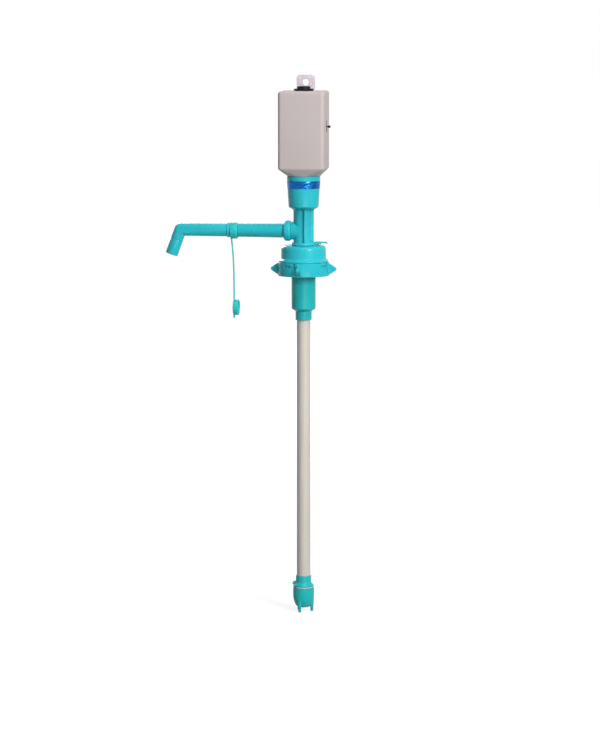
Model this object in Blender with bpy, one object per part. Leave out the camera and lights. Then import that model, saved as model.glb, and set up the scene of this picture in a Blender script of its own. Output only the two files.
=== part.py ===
"""Electric pump for a large water bottle: a motor head on a cup, a ribbed column with a side spout,
a collar that clamps on the bottle's neck, and a long tube with an impeller in its foot.

Metres, +Z up. The origin is on the pump's axis, where the bottle's mouth meets the collar's gasket.
The spout points to -X, and the hanging tab is at the back, +Y.
"""

import math

import bmesh
import bpy
from mathutils import Matrix, Vector

# Clearances, cutter overrun and fineness
GAP = 0.0003
RUNNING = 0.00006
OVERRUN = 0.002
WELD = 0.000001
SHARP_ANGLE = math.radians(32)
LARGE_STEPS = 40
STEPS = 28
SMALL_STEPS = 16
CORNER_STEPS = 4

# Bottle neck that the collar fits
BOTTLE_RADIUS = 0.0275

# Neck gasket
GASKET_THICK = 0.0024
GASKET_WIDTH = 0.0049

# Neck cap
CAP_TOP_WALL = 0.0025
CAP_WALL = 0.0014
CAP_TAPER = 0.0003
SKIRT_STEP = 0.0001
CAP_TOP_ROUND = 0.0034
CAP_DEPTH = 0.0116
CAP_FLARE = 0.0024
CAP_FLANGE_RADIUS = 0.0321
CAP_FLANGE_THICK = 0.0021
SKIRT_WALL = 0.0016
SKIRT_DEPTH = 0.0332
SLEEVE_TOP_DEPTH = 0.0149

# Clamp ring, its wings and its slots
CLAMP_WALL = 0.00195
CLAMP_HEIGHT = 0.0174
CLAMP_CHAMFER = 0.0005
WING_REACH = 0.0429
WING_TIP_RADIUS = 0.0027
WING_ROOT_THICK = 0.0056
WING_TIP_THICK = 0.0039
WING_TOP_DROP = 0.0005
WING_EMBED = 0.0008
WING_TILT = math.radians(55)
WING_COUNT = 4
RING_TURN = math.radians(-92)
WING_TO_SLOT = 0.0052
ENTRY_WIDTH = 0.0055
LEG_LENGTH = 0.0119
SLOT_LIP = 0.0026
SLOT_HEIGHT = 0.003
LUG_WIDTH = 0.0044
LUG_REACH = 0.001

# Pump column: base flange, ribbed column, cup and lower spigot
BASE_RADIUS = 0.0163
BASE_STEP = 0.001
BASE_LOWER_HEIGHT = 0.0017
BASE_UPPER_HEIGHT = 0.0018
COLUMN_HEIGHT = 0.0444
COLUMN_RADIUS = 0.009
COLUMN_BORE = 0.0065
RIB_RADIUS = 0.0132
RIB_THICK = 0.003
RIB_TURN = math.radians(17)
RIB_EMBED = 0.001
RIB_FLARE = 0.0033
RIB_FLARE_HEIGHT = 0.003
HALF_ROUND_RADIUS = 0.0117
HALF_ROUND_OFFSET = 0.0011
HALF_ROUND_STEPS = 18
CUP_HEIGHT = 0.0414
CUP_TOP_RADIUS = 0.0217
CUP_BOTTOM_RADIUS = 0.01945
CUP_CHAMFER = 0.002
CUP_WALL = 0.0022
CUP_FLOOR = 0.0026
SPIGOT_RADIUS = 0.0133
SPIGOT_WALL = 0.002
SPIGOT_DEPTH = 0.014

# Sealing band round the cup
BAND_BELOW_LIP = 0.0063
BAND_HEIGHT = 0.0093
BAND_THICK = 0.0004
BAND_GROOVE = 0.0004

# Shaft seal and upper bush
WEB_THICK = 0.0025
WEB_HOLE_CLEARANCE = 0.0006
SEAL_WALL = 0.0036
SEAL_HEIGHT = 0.0036
BUSH_WALL = 0.0024
BUSH_DEPTH = 0.005
BUSH_FLANGE_RADIUS = 0.006
BUSH_FLANGE_THICK = 0.0012

# Outlet boss, seal and nut
OUTLET_ABOVE_BASE = 0.015
OUTLET_BORE = 0.006
BOSS_RADIUS = 0.0116
BOSS_REACH = 0.0155
BOSS_ROOT = 0.002
NIPPLE_RADIUS = 0.0104
NIPPLE_LENGTH = 0.0033
OUTLET_SEAL_THICK = 0.0014
OUTLET_SEAL_INSET = 0.0006
NUT_RADIUS = 0.0132
NUT_LENGTH = 0.0095
NUT_CHAMFER = 0.0012
NUT_LIP = 0.0027

# Spout arm
ARM_FLANGE_THICK = 0.0015
ARM_ROOT_RADIUS = 0.0092
ARM_END_RADIUS = 0.00865
ARM_END = 0.0852
JOURNAL_RADIUS = 0.0076
ARM_SPIGOT_RADIUS = 0.0063
ARM_SPIGOT_BORE = 0.0042
ARM_SPIGOT_LENGTH = 0.0166
O_RING_GROOVE = 0.0011
O_RING_THICK = 0.001
O_RING_FROM_SHOULDER = 0.009

# Elbow and nozzle tip
ELBOW_FLANGE_RADIUS = 0.00935
ELBOW_FLANGE_THICK = 0.0039
ELBOW_RADIUS = 0.0083
ELBOW_BEND = 0.1614
ELBOW_FALL = math.radians(69.7)
ELBOW_NECK = 0.0125
ELBOW_CORNER_CUT = 0.0023
ELBOW_CORNER_WALL = 0.0015
NOZZLE_RADIUS = 0.0081
NOZZLE_LENGTH = 0.034
NOZZLE_SPIGOT = 0.0075
NOZZLE_SPIGOT_BORE = 0.0046
NOZZLE_EDGE = 0.0003

# Tether ring, strap and dust cap
RING_LENGTH = 0.0096
RING_RADIUS = 0.0105
RING_WALL = 0.002
RING_SAG = 0.0006
RING_CHAMFER = 0.0015
STRAP_THICK = 0.0015
STRAP_WIDTH = 0.0045
STRAP_LENGTH = 0.0786
STRAP_LEAN = 0.0034
STRAP_STEPS = 8
DUST_CAP_WALL = 0.0016
DUST_CAP_PLATE = 0.0015
DUST_CAP_DEPTH = 0.0054
PULL_TAB_LENGTH = 0.0039
PULL_TAB_WIDTH = 0.007

# Vent flap, its pin and its plug
VENT_PIN_REACH = 0.016
VENT_PIN_DROP = 0.0011
VENT_PIN_RADIUS = 0.0007
FLAP_WIDTH = 0.0062
FLAP_THICK = 0.002
FLAP_REACH = 0.0153
FLAP_TIP_DROP = 0.0009
FLAP_NOSE = 0.0018
EAR_THICK = 0.002
EAR_RISE = 0.0006
EAR_REACH = 0.0024
VENT_REACH = 0.0208
VENT_PLUG_RADIUS = 0.0022
VENT_HOLE_RADIUS = 0.0014

# Tube socket and its seal
SOCKET_RADIUS = 0.01565
SOCKET_DEPTH = 0.0767
SOCKET_TAPER = 0.0033
SOCKET_END_DEPTH = 0.0913
SOCKET_END_RADIUS = 0.0105
SOCKET_CHAMBER = 0.0116
SOCKET_STOP_DEPTH = 0.079
SOCKET_STOP_THICK = 0.002
SOCKET_STOP_BORE = 0.0072
COLUMN_SEAL_THICK = 0.0016

# Riser tube and the bushes in it
RISER_RADIUS = 0.00875
RISER_WALL = 0.0015
RISER_LENGTH = 0.3587
TUBE_BUSH_COUNT = 2
TUBE_BUSH_HUB = 0.0029
TUBE_BUSH_FIN = 0.0014
TUBE_BUSH_FINS = 3
TUBE_BUSH_HEIGHT = 0.008

# Foot collar and its screw
FOOT_RADIUS = 0.01
FOOT_HEIGHT = 0.0093
FOOT_GRIP = 0.0113
FOOT_FLANGE_RADIUS = 0.0134
FOOT_FLANGE_THICK = 0.0049
FOOT_FLANGE_EDGE = 0.0015
FOOT_SPIGOT_RADIUS = 0.01175
FOOT_SPIGOT_LENGTH = 0.0061
FOOT_SPIGOT_BORE = 0.0074
SCREW_BOSS_RADIUS = 0.0026
SCREW_BOSS_REACH = 0.0138
SCREW_BOSS_DROP = 0.001
FOOT_SCREW_HEAD = 0.0015
FOOT_SCREW_HEAD_THICK = 0.0014
FOOT_SCREW_PROUD = 0.0007
FOOT_SCREW_SHANK = 0.0008

# Pump bowl, its feet and its strainer
BOWL_GASKET_RADIUS = 0.0132
BOWL_GASKET_THICK = 0.0013
BOWL_RADIUS = 0.0138
BOWL_STRAIGHT = 0.0085
BOWL_DOME = 0.0172
BOWL_FLAT_RADIUS = 0.006
BOWL_WALL = 0.00175
INLET_RADIUS = 0.0045
BOWL_DOME_STEPS = 5
LEG_COUNT = 3
LEG_CIRCLE = 0.0109
LEG_TOP_RADIUS = 0.0029
LEG_TIP_RADIUS = 0.0018
LEG_REACH = 0.0058
LEG_EMBED = 0.0135
LEG_TURN = math.radians(-109)
STRAINER_RADIUS = 0.0071
STRAINER_THICK = 0.0012
STRAINER_ABOVE_FLOOR = 0.0016
STRAINER_HUB = 0.0029
STRAINER_HUB_HEIGHT = 0.0046
STRAINER_HOLE = 0.0011
STRAINER_HOLE_CIRCLE = 0.0049
STRAINER_HOLES = 6
STRAINER_STEPS = 24

# Impeller and shafts
SHAFT_RADIUS = 0.0016
MOTOR_SHAFT_RADIUS = 0.001
COUPLING_RADIUS = 0.004
COUPLING_HALF = 0.010
COUPLING_WEB = 0.002
COUPLING_ABOVE_BUSH = 0.0128
IMPELLER_RADIUS = 0.0093
IMPELLER_HUB = 0.0028
IMPELLER_BLADE = 0.0011
IMPELLER_BLADES = 5
IMPELLER_HEIGHT = 0.0075
IMPELLER_BELOW_SPIGOT = 0.0028

# Motor mount, motor and its screws
MOUNT_WALL = 0.002
MOUNT_FLANGE_RADIUS = 0.0216
MOUNT_FLANGE_THICK = 0.0025
MOUNT_FLOOR_DROP = 0.0018
MOUNT_FLOOR = 0.0028
MOUNT_SKIRT = 0.0112
MOTOR_RADIUS = 0.0122
MOTOR_CAN_LENGTH = 0.0285
MOTOR_CAN_WALL = 0.001
MOTOR_CAN_FLOOR = 0.0012
MOTOR_NOSE_RADIUS = 0.005
MOTOR_NOSE_LENGTH = 0.0015
END_CAP_THICK = 0.0022
MAGNET_THICK = 0.0008
MAGNET_LENGTH = 0.02
MAGNET_ABOVE_FLOOR = 0.0025
AIR_GAP = 0.0005
ARMATURE_LENGTH = 0.018
COMMUTATOR_RADIUS = 0.003
COMMUTATOR_LENGTH = 0.004
MOTOR_SCREW_CIRCLE = 0.008
MOTOR_SCREW_SHANK = 0.0012
MOTOR_SCREW_HEAD = 0.0022
MOTOR_SCREW_HEAD_THICK = 0.0014
MOTOR_SCREW_LENGTH = 0.0042

# Casing
CASE_WIDTH = 0.060
CASE_DEPTH = 0.054
CASE_HEIGHT = 0.0998
CASE_FUNNEL = 0.0093
CASE_CORNER = 0.0045
CASE_TOP_ROUND = 0.0035
CASE_ROUND_STEPS = 3
CASE_WALL = 0.002
CASE_SEAT_DEPTH = 0.0044
BUTTON_HOLE_TO_SEAM = 0.0011
SHELF_THICK = 0.0015
SHELF_WIDTH = 0.032
SHELF_BELOW_TOP = 0.0711
SHELF_REACH = 0.023
SCREW_POST_RADIUS = 0.004
SCREW_POST_INSET = 0.0057
SCREW_LOW_RISE = 0.0096
SCREW_HIGH_DROP = 0.0082
CASE_SCREW_HEAD = 0.0026
CASE_SCREW_HEAD_THICK = 0.002
CASE_SCREW_SHANK = 0.00125
CASE_SCREW_LENGTH = 0.0188
CASE_SCREW_SEAT_FROM_FRONT = 0.024

# Hanging tab
TAB_WIDTH = 0.024
TAB_HEIGHT = 0.0202
TAB_THICK = 0.0025
TAB_CORNER = 0.0055
TAB_HOLE_RADIUS = 0.004
TAB_HOLE_DROP = 0.0099
TAB_FOOT_WIDTH = 0.028
TAB_FOOT_HEIGHT = 0.0025
TAB_FROM_BACK = 0.006

# Push button and its switch
BEZEL_RADIUS = 0.01275
BEZEL_THICK = 0.0024
BEZEL_CHAMFER = 0.0006
BEZEL_NECK_WALL = 0.00105
BEZEL_NECK_BELOW = 0.0012
BUTTON_RADIUS = 0.00875
BUTTON_PROUD = 0.0031
BUTTON_ROUND = 0.0008
BUTTON_WALL = 0.00125
BUTTON_TOP_WALL = 0.0022
BUTTON_COLLAR = 0.0012
BUTTON_COLLAR_REACH = 0.0011
BUTTON_STEM = 0.0015
BUTTON_TRAVEL = 0.0025
STEM_ENGAGE = 0.0008
SWITCH_WIDTH = 0.012
SWITCH_HEIGHT = 0.0065

# Slide switch
SLIDE_SLOT_WIDTH = 0.0074
SLIDE_SLOT_HEIGHT = 0.0154
SLIDE_BELOW_TOP = 0.0458
SLIDE_FACE_DEPTH = 0.0004
SLIDE_BODY_WIDTH = 0.009
SLIDE_BODY_HEIGHT = 0.0205
SLIDE_FROM_HOLDER = 0.00405
SLIDE_CHANNEL_SHARE = 0.577
SLIDE_KNOB_WIDTH = 0.003
SLIDE_STEM_HEIGHT = 0.0013
SLIDE_STEM_PROUD = 0.0017
SLIDE_KNOB_HEIGHT = 0.0028
SLIDE_KNOB_PROUD = 0.0048
SLIDE_TRAVEL = 0.004

# Battery holder, cells and contact boards
CELL_RADIUS = 0.0071
CELL_LENGTH = 0.0492
CELL_NUB_RADIUS = 0.00275
CELL_NUB_LENGTH = 0.0013
CELL_EDGE = 0.0005
BOARD_THICK = 0.001
HOLDER_WALL = 0.0012
HOLDER_END = 0.00125

# Heights of the stack, from the bottle's mouth
CAP_UNDER_Z = GASKET_THICK + GAP
CAP_TOP_Z = CAP_UNDER_Z + CAP_TOP_WALL
BASE_Z = CAP_TOP_Z + GAP
BASE_STEP_Z = BASE_Z + BASE_LOWER_HEIGHT
BASE_TOP_Z = BASE_STEP_Z + BASE_UPPER_HEIGHT
OUTLET_Z = BASE_TOP_Z + OUTLET_ABOVE_BASE
CUP_Z = BASE_TOP_Z + COLUMN_HEIGHT
CUP_FLOOR_Z = CUP_Z + CUP_FLOOR
CUP_TOP_Z = CUP_Z + CUP_HEIGHT
CASE_Z = CUP_TOP_Z + GAP
CASE_SIDE_Z = CASE_Z + CASE_FUNNEL
CASE_TOP_Z = CASE_SIDE_Z + CASE_HEIGHT
CASE_CEILING_Z = CASE_TOP_Z - CASE_WALL
SEAT_Z = CASE_Z + CASE_SEAT_DEPTH
MOUNT_FLANGE_Z = SEAT_Z + GAP
MOUNT_FLOOR_Z = MOUNT_FLANGE_Z - MOUNT_FLOOR_DROP
MOUNT_UNDER_Z = MOUNT_FLOOR_Z - MOUNT_FLOOR
MOUNT_SKIRT_Z = MOUNT_UNDER_Z - MOUNT_SKIRT
CAN_Z = MOUNT_FLOOR_Z + GAP
CAN_TOP_Z = CAN_Z + MOTOR_CAN_LENGTH
SHELF_TOP_Z = CASE_TOP_Z - SHELF_BELOW_TOP
HOLDER_Z = SHELF_TOP_Z + GAP
CELL_Z = HOLDER_Z + HOLDER_END + GAP + BOARD_THICK + GAP
CELL_TOP_Z = CELL_Z + CELL_LENGTH + CELL_NUB_LENGTH
HOLDER_TOP_Z = CELL_TOP_Z + GAP + BOARD_THICK + GAP + HOLDER_END
SWITCH_Z = HOLDER_TOP_Z + GAP
SWITCH_TOP_Z = SWITCH_Z + SWITCH_HEIGHT
SPIGOT_Z = -SPIGOT_DEPTH
SOCKET_LEDGE_Z = SPIGOT_Z - GAP - COLUMN_SEAL_THICK - GAP
RISER_TOP_Z = -SOCKET_STOP_DEPTH - GAP
RISER_Z = RISER_TOP_Z - RISER_LENGTH
FOOT_TOP_Z = RISER_Z + FOOT_GRIP
FOOT_FLANGE_Z = FOOT_TOP_Z - FOOT_HEIGHT
FOOT_UNDER_Z = FOOT_FLANGE_Z - FOOT_FLANGE_THICK
FOOT_SPIGOT_Z = FOOT_UNDER_Z - FOOT_SPIGOT_LENGTH
BOWL_GASKET_Z = FOOT_UNDER_Z - GAP - BOWL_GASKET_THICK
BOWL_TOP_Z = BOWL_GASKET_Z - GAP
BOWL_DOME_Z = BOWL_TOP_Z - BOWL_STRAIGHT
BOWL_Z = BOWL_DOME_Z - BOWL_DOME
BOWL_FLOOR_Z = BOWL_Z + BOWL_WALL
LEG_Z = BOWL_Z - LEG_REACH
STRAINER_Z = BOWL_FLOOR_Z + STRAINER_ABOVE_FLOOR
SHAFT_Z = STRAINER_Z + STRAINER_THICK + GAP
UPPER_BUSH_TOP_Z = CUP_FLOOR_Z + GAP + BUSH_FLANGE_THICK
COUPLING_Z = UPPER_BUSH_TOP_Z + COUPLING_ABOVE_BUSH
COUPLING_WEB_Z = COUPLING_Z + COUPLING_HALF
COUPLING_TOP_Z = COUPLING_WEB_Z + COUPLING_WEB + COUPLING_HALF

# Radii and places that follow from neighbours
CAP_BORE = BOTTLE_RADIUS + GAP
CAP_RADIUS = CAP_BORE + CAP_WALL
CAP_HOLE_RADIUS = SPIGOT_RADIUS + GAP
SKIRT_BORE = CAP_RADIUS + SKIRT_STEP
SKIRT_RADIUS = SKIRT_BORE + SKIRT_WALL
CAP_FLANGE_Z = -CAP_DEPTH - CAP_FLARE
CAP_FLANGE_UNDER_Z = CAP_FLANGE_Z - CAP_FLANGE_THICK
CLAMP_BORE = SKIRT_RADIUS + GAP
CLAMP_RADIUS = CLAMP_BORE + CLAMP_WALL
CLAMP_TOP_Z = CAP_FLANGE_UNDER_Z - GAP
CLAMP_Z = CLAMP_TOP_Z - CLAMP_HEIGHT
SLOT_TOP_Z = CLAMP_TOP_Z - SLOT_LIP
SLOT_Z = SLOT_TOP_Z - SLOT_HEIGHT
LUG_RADIUS = CLAMP_BORE + LUG_REACH
LUG_FROM_WING = WING_TO_SLOT + ENTRY_WIDTH + LEG_LENGTH - GAP - LUG_WIDTH / 2
CUP_SLOPE = (CUP_TOP_RADIUS - CUP_BOTTOM_RADIUS) / (CUP_HEIGHT - CUP_CHAMFER)
MOUNT_SKIRT_RADIUS = CUP_TOP_RADIUS - CUP_WALL - GAP
CASE_FRONT_Y = -CASE_DEPTH / 2
SHAFT_BORE = SHAFT_RADIUS + RUNNING
MOTOR_SHAFT_BORE = MOTOR_SHAFT_RADIUS + RUNNING
RISER_BORE = RISER_RADIUS - RISER_WALL
ELBOW_BORE = ARM_SPIGOT_RADIUS + GAP
NUT_START = BOSS_REACH + GAP
SEAL_START = BOSS_REACH + NIPPLE_LENGTH + GAP
ARM_START = SEAL_START + OUTLET_SEAL_THICK + GAP
ELBOW_START = ARM_END + GAP + RING_LENGTH + GAP
SWIVEL_START = ARM_END + GAP
TETHER_Z = OUTLET_Z - RING_SAG
STRAP_TOP_Z = TETHER_Z - RING_RADIUS - GAP
DUST_CAP_RADIUS = NOZZLE_RADIUS + GAP + DUST_CAP_WALL
DUST_CAP_Z = STRAP_TOP_Z - STRAP_LENGTH - GAP - DUST_CAP_RADIUS
VENT_PIN_Z = BASE_TOP_Z - VENT_PIN_DROP
KNUCKLE_RADIUS = VENT_PIN_Z - CAP_TOP_Z - GAP
FLAP_UNDER_Z = VENT_PIN_Z + KNUCKLE_RADIUS - FLAP_THICK
SLIDE_Z = CASE_TOP_Z - SLIDE_BELOW_TOP
CELL_PITCH = 2 * CELL_RADIUS + GAP
HOLDER_INSIDE = 2 * CELL_PITCH + GAP
HOLDER_WIDTH = HOLDER_INSIDE + 2 * HOLDER_WALL
SLIDE_OUTER_X = CASE_WIDTH / 2 - CASE_WALL - GAP
SLIDE_INNER_X = HOLDER_WIDTH / 2 + SLIDE_FROM_HOLDER
SLIDE_CHANNEL_X = SLIDE_OUTER_X - (SLIDE_OUTER_X - SLIDE_INNER_X) * SLIDE_CHANNEL_SHARE
BEZEL_BORE = BUTTON_RADIUS + GAP
BEZEL_NECK_RADIUS = BEZEL_BORE + BEZEL_NECK_WALL
PARTING_Y = -(BEZEL_NECK_RADIUS + GAP + BUTTON_HOLE_TO_SEAM)
BEZEL_NECK_Z = CASE_CEILING_Z - BEZEL_NECK_BELOW
TO_SPOUT = (0, -math.pi / 2, 0)


def finish(name, colour, roughness, metallic=0.0, alpha=1.0):
    """A plain Principled material."""
    made = bpy.data.materials.new(name)
    made.use_nodes = True
    shader = made.node_tree.nodes["Principled BSDF"]
    shader.inputs["Base Color"].default_value = (*colour, 1.0)
    shader.inputs["Roughness"].default_value = roughness
    shader.inputs["Metallic"].default_value = metallic
    shader.inputs["Alpha"].default_value = alpha
    made.diffuse_color = (*colour, alpha)
    return made


def mesh_of(bm):
    """The finished mesh, with its faces pointing out and its round faces shaded smooth."""
    bmesh.ops.recalc_face_normals(bm, faces=bm.faces)
    mesh = bpy.data.meshes.new("shape")
    bm.to_mesh(mesh)
    bm.free()
    mesh.shade_smooth()
    mesh.set_sharp_from_angle(angle=SHARP_ANGLE)
    return mesh


def turned(profile, steps=STEPS):
    """A body turned about Z. The (radius, height) points are a closed loop, or run from axis to axis."""
    bm = bmesh.new()
    corners = [bm.verts.new((radius, 0, height)) for radius, height in profile]
    edges = [bm.edges.new(pair) for pair in zip(corners, corners[1:])]
    if all(radius > 0 for radius, _ in profile):
        edges.append(bm.edges.new((corners[-1], corners[0])))
    bmesh.ops.spin(
        bm,
        geom=corners + edges,
        cent=(0, 0, 0),
        axis=(0, 0, 1),
        angle=math.tau,
        steps=steps,
        use_merge=True,
    )
    bmesh.ops.remove_doubles(bm, verts=bm.verts, dist=WELD)
    return mesh_of(bm)


def skin(rings):
    """A body over rings of points, closed by a face at each end."""
    bm = bmesh.new()
    loops = [[bm.verts.new(point) for point in ring] for ring in rings]
    bm.faces.new(loops[0])
    bm.faces.new(loops[-1])
    count = len(loops[0])
    for lower, upper in zip(loops, loops[1:]):
        for index in range(count):
            after = (index + 1) % count
            bm.faces.new((lower[index], lower[after], upper[after], upper[index]))
    return mesh_of(bm)


def prism(outline, low, high):
    """A body with a flat outline of (x, y) points, from low to high along Z."""
    return skin([[(x, y, z) for x, y in outline] for z in (low, high)])


def upright_prism(outline, near, far):
    """A body with an outline of (x, z) points, from near to far along Y."""
    return skin([[(x, y, z) for x, z in outline] for y in (near, far)])


def block(low, high):
    """A box between two corners."""
    outline = [(low[0], low[1]), (high[0], low[1]), (high[0], high[1]), (low[0], high[1])]
    return prism(outline, low[2], high[2])


def rod(radius, low, high, steps=SMALL_STEPS):
    """A plain round bar along Z."""
    return turned([(0, high), (radius, high), (radius, low), (0, low)], steps)


def sector(inner, outer, low, high, start, end, steps=6):
    """A piece of a ring between two angles."""
    rings = []
    for step in range(steps + 1):
        angle = start + (end - start) * step / steps
        across = Vector((math.cos(angle), math.sin(angle), 0))
        ring = [(inner, low), (outer, low), (outer, high), (inner, high)]
        rings.append([across * radius + Vector((0, 0, height)) for radius, height in ring])
    return skin(rings)


def arc(centre, radius, start, end, steps):
    """Points on an arc of the plane, both ends included."""
    angles = [start + (end - start) * step / steps for step in range(steps + 1)]
    return [(centre[0] + radius * math.cos(a), centre[1] + radius * math.sin(a)) for a in angles]


def spokes(hub, tip, thick, count, hub_steps=3):
    """The outline of a hub with straight spokes."""
    outline = []
    half = math.asin(thick / 2 / hub)
    reach = math.sqrt(tip * tip - thick * thick / 4)
    pitch = math.tau / count
    for spoke in range(count):
        angle = spoke * pitch
        outline += arc((0, 0), hub, angle - pitch + half, angle - half, hub_steps)
        for side in (-thick / 2, thick / 2):
            x = reach * math.cos(angle) - side * math.sin(angle)
            y = reach * math.sin(angle) + side * math.cos(angle)
            outline.append((x, y))
    return outline


def moved(mesh, matrix):
    """The mesh itself, carried by a matrix."""
    mesh.transform(matrix)
    return mesh


def together(meshes):
    """One mesh that holds several separate bodies."""
    bm = bmesh.new()
    for mesh in meshes:
        bm.from_mesh(mesh)
    return mesh_of(bm)


def empty(name, place):
    """The parent of one moving group, on its joint's axis."""
    made = bpy.data.objects.new(name, None)
    made.location = place
    bpy.context.scene.collection.objects.link(made)
    return made


def piece(name, mesh, look, group, origin=(0, 0, 0), turn=None, place=None):
    """One named piece, drawn in place and given its origin, or drawn along Z and given its turn."""
    if turn is None:
        mesh.transform(Matrix.Translation(-Vector(origin)))
        place = origin
    mesh.name = name
    mesh.materials.append(look)
    made = bpy.data.objects.new(name, mesh)
    made.parent = group
    made.location = Vector(place) - group.location
    made.rotation_euler = turn or (0, 0, 0)
    bpy.context.scene.collection.objects.link(made)
    return made


def change(body, label, mesh, operation="DIFFERENCE", turn=(0, 0, 0), place=(0, 0, 0)):
    """Cuts a hidden tool from a piece, or joins it on."""
    tool = bpy.data.objects.new(f"{body.name}_{label}", mesh)
    tool.location = place
    tool.rotation_euler = turn
    tool.hide_render = True
    tool.display_type = "WIRE"
    bpy.context.scene.collection.objects.link(tool)
    modifier = body.modifiers.new(label, "BOOLEAN")
    modifier.object = tool
    modifier.operation = operation


def rounded_rectangle(width, depth, corner, height):
    """The ring of a box section with round corners."""
    ring = []
    for quarter, (side_x, side_y) in enumerate(((1, 1), (-1, 1), (-1, -1), (1, -1))):
        centre = (side_x * (width / 2 - corner), side_y * (depth / 2 - corner))
        start = quarter * math.pi / 2
        ring += [(x, y, height) for x, y in arc(centre, corner, start, start + math.pi / 2, CORNER_STEPS)]
    return ring


def round_section(radius, height):
    """A round ring with as many points as a box section, the two lined up."""
    count = 4 * (CORNER_STEPS + 1)
    angles = [(index + 1 / 2) * math.tau / count for index in range(count)]
    return [(radius * math.cos(a), radius * math.sin(a), height) for a in angles]


def casing_outside():
    """The motor head's outer form: a round foot, a four-sided funnel, straight sides and an eased top."""
    rings = [round_section(CUP_TOP_RADIUS, CASE_Z)]
    rings.append(rounded_rectangle(CASE_WIDTH, CASE_DEPTH, CASE_CORNER, CASE_SIDE_Z))
    for step in range(CASE_ROUND_STEPS + 1):
        angle = math.pi / 2 * step / CASE_ROUND_STEPS
        inset = CASE_TOP_ROUND * (1 - math.cos(angle))
        height = CASE_TOP_Z - CASE_TOP_ROUND * (1 - math.sin(angle))
        width = CASE_WIDTH - 2 * inset
        depth = CASE_DEPTH - 2 * inset
        rings.append(rounded_rectangle(width, depth, CASE_CORNER - inset, height))
    return skin(rings)


def casing_inside():
    """The hollow of the motor head, with a flat seat for the motor mount's flange."""
    hole = MOUNT_SKIRT_RADIUS + GAP
    seat = MOUNT_FLANGE_RADIUS + GAP
    width = CASE_WIDTH - 2 * CASE_WALL
    depth = CASE_DEPTH - 2 * CASE_WALL
    corner = CASE_CORNER - CASE_WALL
    rings = [round_section(hole, height) for height in (CASE_Z - OVERRUN, SEAT_Z)]
    rings.append(round_section(seat, SEAT_Z))
    for height in (CASE_SIDE_Z + CASE_WALL, CASE_CEILING_Z):
        rings.append(rounded_rectangle(width, depth, corner, height))
    return skin(rings)


def screw_places():
    """Where the four casing screws stand, as (x, z)."""
    reach = CASE_WIDTH / 2 - SCREW_POST_INSET
    heights = (CASE_SIDE_Z + SCREW_LOW_RISE, CASE_TOP_Z - SCREW_HIGH_DROP)
    return [(side * reach, height) for height in heights for side in (-1, 1)]


def along_y(x, y, z):
    """Carries a body drawn along Z to one that runs along +Y from a point."""
    return Matrix.Translation((x, y, z)) @ Matrix.Rotation(-math.pi / 2, 4, "X")


def casing_half(name, look, group, keep_back):
    """One shell of the casing, with its screw posts and holes."""
    half = piece(name, casing_outside(), look, group, origin=(0, PARTING_Y, CASE_SIDE_Z))
    change(half, "hollow", casing_inside())
    length = CASE_DEPTH - CASE_WALL
    start_y = -length / 2
    posts = [moved(rod(SCREW_POST_RADIUS, 0, length), along_y(x, start_y, z)) for x, z in screw_places()]
    change(half, "posts", together(posts), "UNION")
    side = CASE_WIDTH / 2 + OVERRUN
    if keep_back:
        shelf_y = CASE_DEPTH / 2 - SHELF_REACH
        low = (-SHELF_WIDTH / 2, shelf_y, SHELF_TOP_Z - SHELF_THICK)
        high = (SHELF_WIDTH / 2, CASE_DEPTH / 2 - CASE_WALL / 2, SHELF_TOP_Z)
        change(half, "shelf", block(low, high), "UNION")
        near, far = CASE_FRONT_Y - OVERRUN, PARTING_Y + GAP / 2
    else:
        near, far = PARTING_Y - GAP / 2, CASE_DEPTH / 2 + OVERRUN
    away = block((-side, near, CASE_Z - 2 * OVERRUN), (side, far, CASE_TOP_Z + OVERRUN))
    change(half, "other_half", away)
    shank = CASE_SCREW_SHANK + GAP
    head = CASE_SCREW_HEAD + GAP
    seat = CASE_FRONT_Y + CASE_SCREW_SEAT_FROM_FRONT
    tip = seat - CASE_SCREW_LENGTH
    top = CASE_DEPTH / 2 + OVERRUN - tip
    step = seat - tip
    hole = [(0, top), (head, top), (head, step), (shank, step), (shank, 0), (0, 0)]
    holes = [moved(turned(hole, SMALL_STEPS), along_y(x, tip, z)) for x, z in screw_places()]
    change(half, "screw_holes", together(holes))
    return half


def front_cover(look, group):
    casing_half("front_cover", look, group, keep_back=False)


def rear_casing(look, group):
    """The deep shell, open for the button, the slide switch and the hanging tab."""
    half = casing_half("rear_casing", look, group, keep_back=True)
    low, high = CASE_CEILING_Z - OVERRUN, CASE_TOP_Z + OVERRUN
    change(half, "button_hole", rod(BEZEL_NECK_RADIUS + GAP, low, high, STEPS))
    tab_y = CASE_DEPTH / 2 - TAB_FROM_BACK
    reach_x = TAB_WIDTH / 2 + GAP
    reach_y = TAB_THICK / 2 + GAP
    change(half, "tab_slot", block((-reach_x, tab_y - reach_y, low), (reach_x, tab_y + reach_y, high)))
    inner = CASE_WIDTH / 2 - CASE_WALL - OVERRUN
    outer = CASE_WIDTH / 2 + OVERRUN
    wide = SLIDE_SLOT_WIDTH / 2
    tall = SLIDE_SLOT_HEIGHT / 2
    slot_low = (inner, -wide, SLIDE_Z - tall)
    slot_high = (outer, wide, SLIDE_Z + tall)
    change(half, "slide_slot", block(slot_low, slot_high))


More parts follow.
